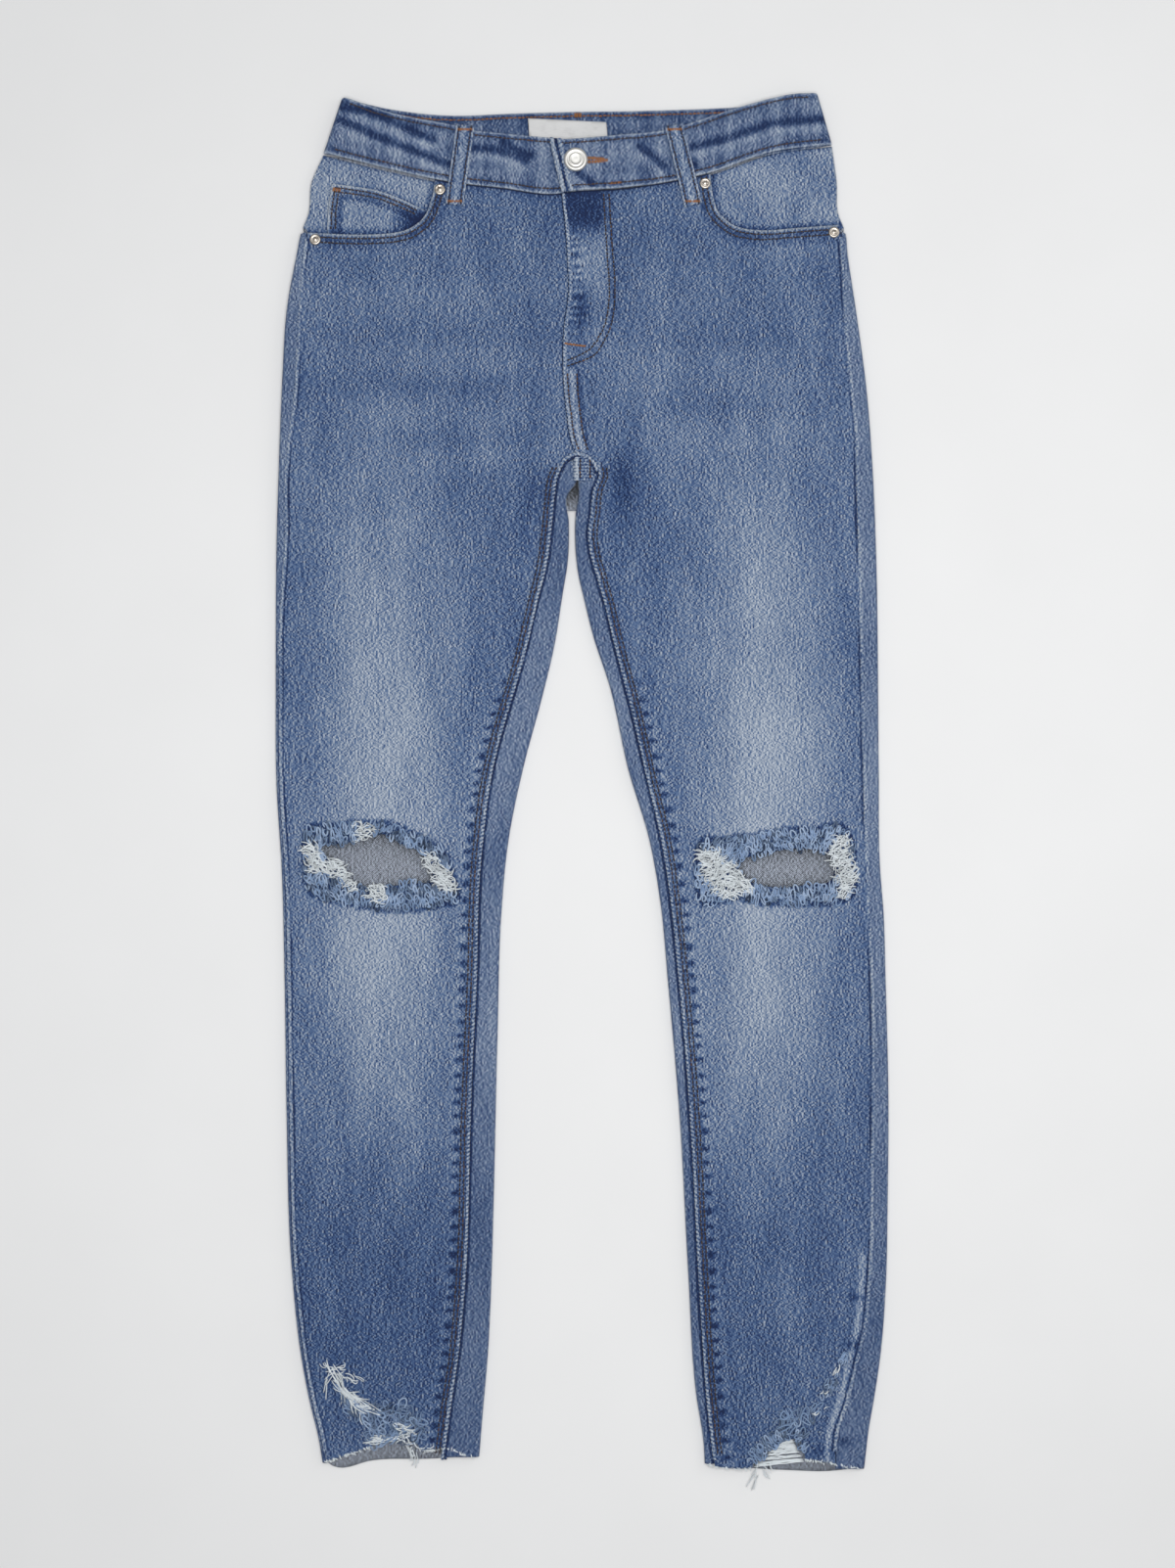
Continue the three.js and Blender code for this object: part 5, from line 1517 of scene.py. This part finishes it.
def rope(name, line, radius, tone, hand, sides=8):
    """A rope-like ridge: an oval ring about each point of a line, with a swell that winds round.

    hand is which way it winds and how strongly the winding shows in its tone."""
    line = even(line, len(line))
    way = np.concatenate([[0], np.cumsum(np.linalg.norm(np.diff(line, axis=0), axis=1))])
    angle = np.linspace(0, 2 * np.pi, sides, endpoint=False)
    twist = 0.16 * np.cos(angle[None] + np.sign(hand) * way[:, None] * 2 * np.pi / ROPE_PITCH)
    thick = radius * (1 + twist) * (1 + 0.1 * np.sin(way / 17))[:, None]
    side, up = square_to(line)
    points = line[:, None] + side[:, None] * (thick * np.cos(angle))[..., None] * 1.1
    points = points + up[:, None] * (thick * np.sin(angle))[..., None] * 0.75
    tones = tone - 0.5 + abs(hand) * twist + 0.06 * np.sin(way / 23)[:, None]
    return make(name, points.reshape(-1, 3), grid_faces(len(line), sides, wrap=True, flip=True),
                [finish_of("denim_face")], {"tone": tones}, ends=end_caps(len(line), sides))


def small_sheet(name, x, y, z, tone, finish):
    """A small piece of cloth from its grid of places."""
    return make(name, places(x, y, z), grid_faces(*x.shape), [finish_of(finish)] * 2,
                {"tone": tone}, wall=CLOTH)


class JEANS_OT_seam_ridges(bpy.types.Operator):
    """Lay the worn, rope-like ridges of the inseams, outseams, fly and crotch, with lines of painted shade beside
    them, the crotch join and painted shadow in the gap between the legs
    """

    bl_idname = "jeans.seam_ridges"
    bl_label = "Seam ridges"

    def execute(self, context):
        parts = []
        for name, leg in LEGS.items():
            y = np.linspace(-484, 229, 1100)
            x = leg.inseam(y) - leg.inward * 0.5
            parts.append((np.column_stack([x, y, front_top(name, x, y) - 0.25]), 1, 0.68, leg.inward * 1.9))
            # a dark line of painted shade beside the inseam ridge
            x = leg.inseam(y) + leg.inward * 1.6
            parts.append((np.column_stack([x, y, upper_mid(y) + CLOTH / 2 - 0.3]), 0.9, 0.08, 0.3))
            y = np.linspace(-478, 390, 1100)
            # the outseam's light worn ridge, then a dark line of painted shade beside it
            for away, radius, tone, lift in ((0.2, 1.05, 0.72, 0.45), (2.3, 0.8, 0.16, 0.15)):
                x = leg.outline(y) + leg.inward * (side_reach(leg, y) + away)
                parts.append((np.column_stack([x, y, upper_mid(y) + lift]), radius, tone, -leg.inward * 0.8))
        # the crotch arch's light worn ridge, then a dark line of painted shade inside it
        for radius, tone, inset in ((1, 0.72, 0), (0.8, 0.08, 1.8)):
            x, y = spline(CROTCH_ARCH, 80).T
            x, y = x - inset * (x + 1.5) / 14, y - inset
            parts.append((np.column_stack([x, y, front_top("left", x, y) + 0.6]), radius, tone, 1.2))
        y = np.linspace(236, 421, 300)
        x = centre_front(y) + 0.9
        parts.append((np.column_stack([x, y, front_top("left", x, y) - 0.35]), 1.05, 0.7, -1.2))
        lap = even(np.array(BANDS["left"]["end"], float), 60)[2:-1]
        # two light worn ridges at the lap's end, with a dark line of painted shade between them
        for away, radius, tone in ((0.7, 1.5, 0.84), (3.4, 1, 0.14), (6, 1.6, 0.74)):
            z = BAND_FRONT + BAND / 2 + LAP_RISE - 0.25
            parts.append((at_height(lap + [away, 0], z), radius, tone, 0.4))
        for number, part in enumerate(parts):
            fitting(rope("seam_ridge_and_shade_line_" + str(number), *part), [])
        share, level = np.linspace(0, 1, 33)[None], np.linspace(216.2, 232.8, 50)[:, None]
        x, y = mix(-5.5, 8.7, share) * smooth(level, 205, 219) + 0 * level, level + 0 * share
        rungs = np.sin(y * 2 * np.pi / 2.3)
        felled = bell(x + 3.6, 1.3)
        rows = bell(np.abs(x - 2.5) - 3.5, 0.7)
        z = SEAT_FRONT + CLOTH + 1.5 + 0.8 * felled + 0.25 * rungs - 0.03 * (x - 1.6) ** 2
        tone = -0.04 + 0.24 * rungs + 0.5 * felled - 0.4 * rows
        block = small_sheet("crotch_join", x, y, z, tone, "denim_face")
        # a dark sheet of painted shadow in the gap between the legs, fading lighter downwards
        level = np.linspace(195, 217, 40)[:, None]
        x = mix(LEGS["right"].crease(level) - 0.5, LEGS["left"].crease(level) + 0.5, share)
        y = level + 0 * share
        dim = -0.95 + 0.8 * (1 - smooth(level, 195, 212)) + 0 * x
        gap = small_sheet("crotch_gap_shadow", x, y, 3.2 + 0 * x, dim, "denim_wrong")
        for piece in (block, gap):
            fitting(piece, [])
        return {"FINISHED"}


def on_front(name, line, lift=0):
    """A flat line laid on the front's outer face."""
    line = np.asarray(line, float)
    return np.column_stack([line, front_top(name, line[:, 0], line[:, 1]) + lift])


def at_height(line, z):
    """A flat line raised to one height."""
    return np.column_stack([line, np.full(len(line), z)])


def beside(line, way):
    """A line the given way to the left of another."""
    line = np.asarray(line, float)
    along = np.gradient(line, axis=0)
    along /= np.linalg.norm(along, axis=1, keepdims=True)
    return line + np.stack([-along[:, 1], along[:, 0]], axis=1) * way


def side_rows(name, radius):
    """One side's rows: inseam, pocket mouth, waistband, belt loop, back pocket, yoke and seat."""
    leg = LEGS[name]
    rows = []
    y = np.linspace(-480, 226, 600)
    for way, tone in ((3.2, 0.32), (5.9, 0.25)):
        x = leg.inseam(y) - leg.inward * way
        rows.append(stitches(on_front(name, np.stack([x, y], axis=1)), radius, tone))
    curve = spline(MOUTHS[name], 60)
    side_rivet = 188 if name == "right" else 181
    curve = curve[(curve[:, 1] < waist_seam(curve[:, 0]) - 2) & (np.abs(curve[:, 0]) < side_rivet)]
    hand = -1 if name == "left" else 1
    for way in (3, 6.6):
        rows.append(stitches(on_front(name, beside(curve, way * hand)), radius, 0.3, 2.6))
    for share, tone in ((0.085, 0.3), (0.905, 0.34)):
        rows.append(stitches(band_row(name, share)[5:-3], radius, tone, 2.9))
    path = front_loop_path(name)
    for side in (-4.3, 4.3):
        rows.append(stitches(path + np.array([side, 0, 0.75]), radius * 0.9, 0.25, 2.7))
    top, foot = np.array(LOOPS_FRONT[name], float)
    for drop, station in ((3, 0), (54, 40)):
        middle = mix(top, foot, drop / (top[1] - foot[1]))
        height = path[station, 2] + 0.75
        rows.append(bartack(middle - [5, 0], middle + [5, 0], lambda x, y, h=height: h + 0 * x))
    corners = pocket_corners(name)
    loop = np.vstack([corners[1:], corners[:1]])
    centre = corners.mean(axis=0)
    for inset in (0.965, 0.9):
        line = centre + (loop - centre) * inset
        rows.append(stitches(at_height(even(line, 200), 0.52), radius * 0.7, 0.4, sink=0.9))
    across = np.linspace(leg.outline(YOKE_SIDE_Y), CENTRE_X, 60)
    seam = np.interp(across * leg.inward, across[[0, -1]] * leg.inward, [YOKE_SIDE_Y, YOKE_CENTRE_Y])
    under = STEP - 0.1
    for below in (2.4, 5):
        line = np.column_stack([across, seam - below])[1:-1]
        rows.append(stitches(at_height(line, under), radius * 0.7, 0.4))
    y = np.linspace(240, YOKE_CENTRE_Y - 8, 50)
    for way in ((2.4, 5) if name == "left" else ()):
        line = np.column_stack([np.full(50, CENTRE_X + way), y])
        rows.append(stitches(at_height(line, under), radius * 0.7, 0.4))
    return rows


def fly_rows(radius):
    """The fly's curved rows, the rows below it, the crotch join's and the coin pocket's."""
    rows = []
    for line in (FLY_OUTER, FLY_INNER):
        rows.append(stitches(on_front("left", spline(line, 80)), radius, 0.3, 2.8))
    y = np.linspace(238, 293, 60)
    for way in (2.8, 9.4):
        line = np.stack([centre_front(y) + way, y], axis=1)
        rows.append(stitches(on_front("left", line), radius, 0.36, 2.8))
    coin = spline(COIN_TOP, 40)
    coin_top = SEAT_FRONT - STEP + CLOTH + 0.45
    for way in (-2.6, -5.4):
        rows.append(stitches(at_height(beside(coin, way)[1:-3], coin_top), radius, 0.36, 2.5))
    for x in (2, 5):
        line = [(-178.4 + x, 424), (-180.6 + x, 410), (-181 + x, 396)]
        rows.append(stitches(at_height(line, coin_top), radius, 0.3, 2.5))
    rows.append(bartack((-177.8, 424.6), (-172.6, 423.4), lambda x, y: coin_top + 0 * x, 3.2))
    rows.append(bartack((-12, 314.1), (2.8, 312.2), lambda x, y: front_top("left", x, y), 1.3))
    for x, drop in ((-1, 0.2), (6, 0.58)):
        rows.append(stitches(at_height([(x, 217.5), (x, 231.5)], CROTCH_TOP - drop), radius, 0.4, 2.6))
    return rows


def waist_rows(radius):
    """The buttonhole, the waistband's bartack and inside rows, and the label's ends."""
    rows = []
    lap_top = BAND_FRONT + BAND / 2 + LAP_RISE
    level = BUTTON[1]
    for start, stop, width in (((4.6, level - 1.5), (15.8, level - 0.825), 2.2),
                               ((4.6, level + 1.5), (15.8, level + 0.825), 2.2),
                               ((15.4, level), (18.6, level - 0.2), 2.4)):
        rows.append(bartack(start, stop, lambda x, y: lap_top + 0.1 + 0 * x, width, 0.3, 0.95))
    line = band_row("left", 0.905)
    line = line[(line[:, 0] > 20) & (line[:, 0] < 29)]
    if len(line) > 1:
        x_of, z_of = line[:, 0], line[:, 2]
        rows.append(bartack(line[-1][:2], line[0][:2], lambda x, y: np.interp(x, x_of, z_of) + 0.1, 1.6))
    band_inside = STEP + BAND + 0.1
    for band in BANDS.values():
        line = spline([band["corner"][0], *band["back"], band["centre"]], 80)[12:]
        rows.append(stitches(at_height(line - [0, 3.4], band_inside), radius, 0.72, 2.9))
    rows.append(bartack((-5.2, 478.2), (-0.4, 478.2), lambda x, y: band_inside + 0 * x, 3.4, 0.34, 0.9))
    for corner in (0, 2):
        a, b = np.array(LABEL[corner : corner + 2], float)
        line = even(np.stack([mix(a, b, 0.04), mix(a, b, 0.96)]), 3)
        rows.append(stitches(at_height(line, STEP + BAND + 0.85), 0.22, 0.1, 2, sink=0.8))
    return rows


class JEANS_OT_top_stitching(bpy.types.Operator):
    """Sew every row of top-stitching, the bartacks and the buttonhole"""

    bl_idname = "jeans.top_stitching"
    bl_label = "Top-stitching"

    def execute(self, context):
        radius = context.scene.jeans_sizes.stitch_radius / MM
        rng = np.random.default_rng(11)
        rows = [row for name in LEGS for row in side_rows(name, radius)]
        rows += fly_rows(radius) + waist_rows(radius)
        paths, radii, tones = (np.concatenate(part) for part in zip(*rows))
        paths[:, :, :2] += rng.normal(0, 0.1, (len(paths), 1, 2))
        tones = tones + rng.normal(0, 0.07, len(tones))
        radii = radii[:, None] * STITCH_WIDTHS[None] * rng.uniform(0.88, 1.1, (len(paths), 1))
        piece = tube_object("top_stitching", paths, radii, finish_of("sewing_thread"), tones, 5)
        fitting(piece, [])
        return {"FINISHED"}


def scatter(rng, outline, hole, spacing):
    """Places on a shaken grid, inside an outline and outside a hole."""
    outline = np.asarray(outline, float)
    low, high = outline.min(axis=0), outline.max(axis=0)
    x, y = np.meshgrid(np.arange(low[0], high[0], spacing), np.arange(low[1], high[1], spacing))
    x = x.ravel() + rng.uniform(-0.6, 0.6, x.size) * spacing
    y = y.ravel() + rng.uniform(-0.6, 0.6, y.size) * spacing
    keep = inside(x, y, outline)
    if hole is not None:
        keep &= ~inside(x, y, hole)
    return x[keep], y[keep]


def curls(rng, x, y, base, heading, spread, length, bend, rise, stations=9):
    """Curled yarns: each turns at a rate that changes along it, in a plane tipped out of the cloth.

    base is the height it starts from, heading and spread its direction, bend how far it curls in all."""
    count = len(x)
    t = np.linspace(0, 1, stations)[None]
    start = heading + rng.normal(0, spread, (count, 1))
    total = rng.normal(0, 1, (count, 1)) * bend
    more = rng.normal(0, 1, (count, 1)) * bend * 0.5
    angle = start + total * (t - 0.5) + more * (t - 0.5) ** 2 * 2
    size = length * rng.uniform(0.6, 1.3, (count, 1))
    step = size / (stations - 1)
    along = np.cumsum(np.cos(angle) * step, axis=1)
    aside = np.cumsum(np.sin(angle) * step, axis=1)
    along, aside = along - along.mean(axis=1, keepdims=True), aside - aside.mean(axis=1, keepdims=True)
    tip = rng.normal(0, rise, (count, 1))
    px, py = x[:, None] + along, y[:, None] + aside
    hump = rng.uniform(0.3, 1, (count, 1)) * 1.6 * np.sin(np.pi * t)
    pz = base[:, None] + np.abs(tip * aside) + hump * 0.8
    return np.stack([px, py, pz], axis=-1)


def loops(rng, x, y, base, heading, spread, size, stations=9):
    """Yarn loops: each most of an oval drawn out along its heading, its middle arched off the cloth."""
    count = (len(x), 1)
    angle = rng.uniform(3.6, 5.4, count) * (np.linspace(0, 1, stations)[None] - 0.5)
    along = size * rng.uniform(0.6, 1.35, count) * np.cos(angle)
    aside = size * rng.uniform(0.25, 0.6, count) * np.sin(angle) * rng.choice([-1, 1], count)
    head = heading + rng.normal(0, spread, count) + np.pi * rng.integers(0, 2, count)
    px = x[:, None] + along * np.cos(head) - aside * np.sin(head)
    py = y[:, None] + along * np.sin(head) + aside * np.cos(head)
    pz = base[:, None] + rng.uniform(0.2, 1.3, count) + rng.uniform(0.4, 1.4, count) * np.cos(angle / 2)
    return np.stack([px, py, pz], axis=-1)


def yarn_piece(name, groups, material):
    """One mesh of yarns from groups of (paths, radii, tones), each yarn thinner at its ends."""
    paths, radii, tones = (np.concatenate(part) for part in zip(*groups))
    taper = np.interp(np.linspace(0, 1, paths.shape[1]), [0, 0.12, 0.88, 1], [0.55, 1, 1, 0.5])
    return tube_object(name, paths, radii[:, None] * taper[None], material, tones)


class JEANS_OT_knee_fringe(bpy.types.Operator):
    """Tease out the blue curls and white weft threads round the knee rips"""

    bl_idname = "jeans.knee_fringe"
    bl_label = "Knee fringe"

    def execute(self, context):
        radius = context.scene.jeans_sizes.yarn_radius / MM
        rng = np.random.default_rng(context.scene.jeans_sizes.fringe_seed)
        for name in LEGS:
            ring = spline(FRINGES[name], 60, closed=True)
            rip = rip_edge(name)
            patches = [spline(p, 40, closed=True) for p in WHITE_PATCHES[name]]
            x, y = scatter(rng, ring, rip, 2.7)
            inner = nearest(x, y, np.vstack([ring, ring[:1]]))[0] > rng.uniform(0.8, 3.6, len(x))
            x, y = x[inner], y[inner]
            white = np.zeros(len(x), bool)
            for outline in patches:
                white |= inside(x, y, outline)
            x, y = x[~white], y[~white]
            heading = np.pi / 2 - 0.35 * np.sin(x / 13)
            paths = loops(rng, x, y, front_top(name, x, y), heading[:, None], 0.35, 3.3)
            tones = rng.normal(0.62 if name == "right" else 0.74, 0.3, len(x))
            blue = (paths, radius * rng.uniform(0.8, 1.1, len(x)), tones)
            piece = yarn_piece("knee_fringe_" + name, [blue], finish_of("blue_yarn"))
            fitting(piece, ["knee_fray_" + name])
            groups = []
            for outline in patches:
                wx, wy = scatter(rng, outline, None, 1.85)
                base = front_top(name, wx, wy) + rng.uniform(0.3, 2.1, len(wx))
                paths = curls(rng, wx, wy, base, 0.5 * np.sin(wx / 7)[:, None], 0.5, 9.5, 2.2, 0.2)
                groups.append((paths, 0.4 * rng.uniform(0.8, 1.2, len(wx)), rng.normal(0.66, 0.16, len(wx))))
            piece = yarn_piece("knee_weft_" + name, groups, finish_of("white_yarn"))
            fitting(piece, [])
        return {"FINISHED"}


# Blue curls: their ground, spacing, heading, how far they stray from it, and their size.
HEM_CURLS = {
    "right": [
        ([(-176, -431), (-163, -440), (-150, -446), (-154, -458), (-166, -452)], 2.6, 2.2, 0.5, 3.2),
        ([(-148, -445), (-128, -442.5), (-114, -452), (-113, -466), (-120, -470), (-138, -470), (-150, -472),
          (-155, -460)], 3.4, 1.4, 0.9, 5),
    ],
    "left": [
        ([(136, -452), (152, -449), (164, -447), (171, -447), (171, -452), (163, -458), (153, -463), (141, -464)],
         3.7, 1.4, 0.6, 5),
        ([(146, -462), (138, -463), (119, -478), (119, -486), (127, -484), (147, -467)], 2.5, 2.2, 0.4, 3),
        ([(152, -461), (160, -463), (161, -480), (157, -480), (153, -466)], 2.5, 1.2, 0.4, 3),
        ([(184, -408), (190, -407), (190, -415), (185, -417)], 2, 1.2, 0.4, 3.2),
        ([(174, -428), (183, -424), (181, -434), (171, -441)], 2.6, 0.9, 0.5, 2.6),
    ],
}
# Loose white threads: the line they lie along, how many, how far they stray, their length and curl.
HEM_THREADS = {
    "right": [
        ([(-179, -420), (-172, -434), (-160, -443), (-147, -450)], 40, 1.7, 16, 0.5),
        ([(-183, -420), (-168, -418)], 10, 1.8, 8, 1.6),
        ([(-180, -423), (-184, -436)], 4, 1, 10, 0.5),
        ([(-168, -424), (-157, -429)], 7, 1.6, 9, 2.2),
        ([(-165, -440), (-160, -456)], 9, 2.4, 8, 1),
        ([(-152, -471), (-136, -468), (-120, -465)], 34, 1.3, 10, 1.2),
        ([(-134, -459), (-118, -464)], 16, 1.6, 8, 1.6),
        ([(-127, -468), (-121, -477), (-120, -487)], 20, 1.9, 6.5, 1.4),
        ([(-118, -477), (-105, -476)], 8, 1.2, 5, 1),
    ],
    "left": [
        ([(182.8, -418.5), (181.4, -424)], 8, 0.8, 4.5, 0.8),
        ([(179, -430), (173, -436)], 3, 1.4, 4, 1.6),
        ([(172, -447), (164, -452)], 4, 1.4, 5, 2.8),
        ([(126, -489), (122, -501)], 5, 1.6, 11, 0.8),
        ([(130, -489), (134, -496)], 5, 2, 8, 0.9),
    ],
}


def along_line(rng, line, count, stray):
    """Places strewn along a line, with the way it runs at each."""
    fine = even(np.array(line, float), 60)
    pick = rng.integers(0, 60, count)
    run = np.arctan2(*(fine[pick + 1] - fine[pick]).T[::-1])
    spot = fine[pick] + rng.normal(0, stray, (count, 2))
    return spot[:, 0], spot[:, 1], run


class JEANS_OT_hem_fringe(bpy.types.Operator):
    """Fray the cut hems: blue curls, loose white threads, the worn-through weft window and the raw edge"""

    bl_idname = "jeans.hem_fringe"
    bl_label = "Hem fringe"

    def execute(self, context):
        radius = context.scene.jeans_sizes.yarn_radius / MM
        rng = np.random.default_rng(context.scene.jeans_sizes.fringe_seed + 1)
        for name, leg in LEGS.items():
            groups = []
            for outline, spacing, heading, spread, size in HEM_CURLS[name]:
                x, y = scatter(rng, outline, None, spacing)
                paths = loops(rng, x, y, upper_mid(y) + CLOTH / 2, heading, spread, size)
                groups.append((paths, radius * rng.uniform(0.7, 1.05, len(x)), rng.normal(0.6, 0.2, len(x))))
            piece = yarn_piece("hem_fringe_" + name, groups, finish_of("blue_yarn"))
            fitting(piece, ["hem_fray_" + name])
            groups = []
            for line, count, stray, length, bend in HEM_THREADS[name]:
                x, y, run = along_line(rng, line, count, stray)
                beyond = np.clip((leg.front_hem(x) - y) / 6, 0, 1)
                base = mix(upper_mid(y) + CLOTH / 2, 1.8, beyond) + rng.uniform(0.4, 1.9, count)
                paths = curls(rng, x, y, base, run[:, None], 0.22, length, bend, 0.1)
                groups.append((paths, 0.36 * rng.uniform(0.75, 1.15, count), rng.normal(0.7, 0.12, count)))
            low, high = sorted((leg.front_hem.span[0] + 2, leg.front_hem.span[1] - 2))
            x = np.sort(rng.uniform(low, high, 110))
            y = leg.front_hem(x) + rng.normal(-0.2, 0.4, len(x))
            base = np.full(len(x), LEG_FRONT + 0.3) + rng.uniform(0, 0.5, len(x))
            tear = np.array(HEM_TEARS[name], float)
            keep = ~inside(x, y, tear)
            x, y, base = x[keep], y[keep], base[keep]
            paths = curls(rng, x, y, base, -0.9, 0.5, 2.6, 0.7, 0.1)
            groups.append((paths, 0.38 * rng.uniform(0.7, 1.1, len(x)), rng.normal(0.68, 0.14, len(x))))
            if name == "left":
                runs = ((0.1, 0.66, 19), (0.74, 0.82, 3), (0.89, 1, 4))
                share = np.concatenate([np.linspace(*run) for run in runs])
                start = np.array([148, -466]) + share[:, None] * np.array([-24.5, -23.0])
                stop = np.array([149, -466]) + share[:, None] * np.array([10.0, -19.5])
                t = np.linspace(0, 1, 9)[None, :, None]
                flat = mix(start[:, None], stop[:, None], t)
                sag = 0.5 * np.sin(np.pi * t[..., 0]) * rng.uniform(0.4, 1.3, (len(share), 1))
                flat[..., 1] += rng.normal(0, 0.22, flat.shape[:2])
                z = LEG_FRONT + 0.7 - sag + rng.uniform(0, 0.4, (len(share), 1))
                paths = np.dstack([flat, z])
                tones = 0.5 + 0.3 * share + rng.normal(0, 0.08, len(share))
                groups.append((paths, rng.uniform(0.36, 0.5, len(share)), tones))
            piece = yarn_piece("hem_threads_" + name, groups, finish_of("white_yarn"))
            fitting(piece, [])
        return {"FINISHED"}


PIECES = [JEANS_OT_stage, JEANS_OT_back_panels, JEANS_OT_yokes, JEANS_OT_pockets, JEANS_OT_front_panels,
          JEANS_OT_waistband, JEANS_OT_belt_loops, JEANS_OT_label, JEANS_OT_fly_zip, JEANS_OT_fittings,
          JEANS_OT_seam_ridges, JEANS_OT_top_stitching, JEANS_OT_knee_fringe, JEANS_OT_hem_fringe]


class JEANS_PT_sidebar(bpy.types.Panel):
    """Makes the jeans piece by piece"""

    bl_label = "Ripped jeans"
    bl_space_type = "VIEW_3D"
    bl_region_type = "UI"
    bl_category = "Jeans"

    def draw(self, context):
        for group in (context.scene.jeans_sizes, context.scene.jeans_colours):
            column = self.layout.column()
            for key in group.bl_rna.properties.keys():
                if key not in ("rna_type", "name"):
                    column.prop(group, key)
        for piece in PIECES:
            self.layout.operator(piece.bl_idname)


CLASSES = [JeansColours, JeansSizes, *PIECES, JEANS_PT_sidebar]


def register():
    """Makes the classes and settings known."""
    for item in CLASSES:
        bpy.utils.register_class(item)
    bpy.types.Scene.jeans_colours = bpy.props.PointerProperty(type=JeansColours)
    bpy.types.Scene.jeans_sizes = bpy.props.PointerProperty(type=JeansSizes)


def unregister():
    """Takes back what register did."""
    del bpy.types.Scene.jeans_sizes
    del bpy.types.Scene.jeans_colours
    for item in reversed(CLASSES):
        bpy.utils.unregister_class(item)


def main():
    """Runs every operator."""
    register()
    for piece in PIECES:
        area, name = piece.bl_idname.split(".")
        getattr(getattr(bpy.ops, area), name)()


if __name__ == "__main__":
    main()
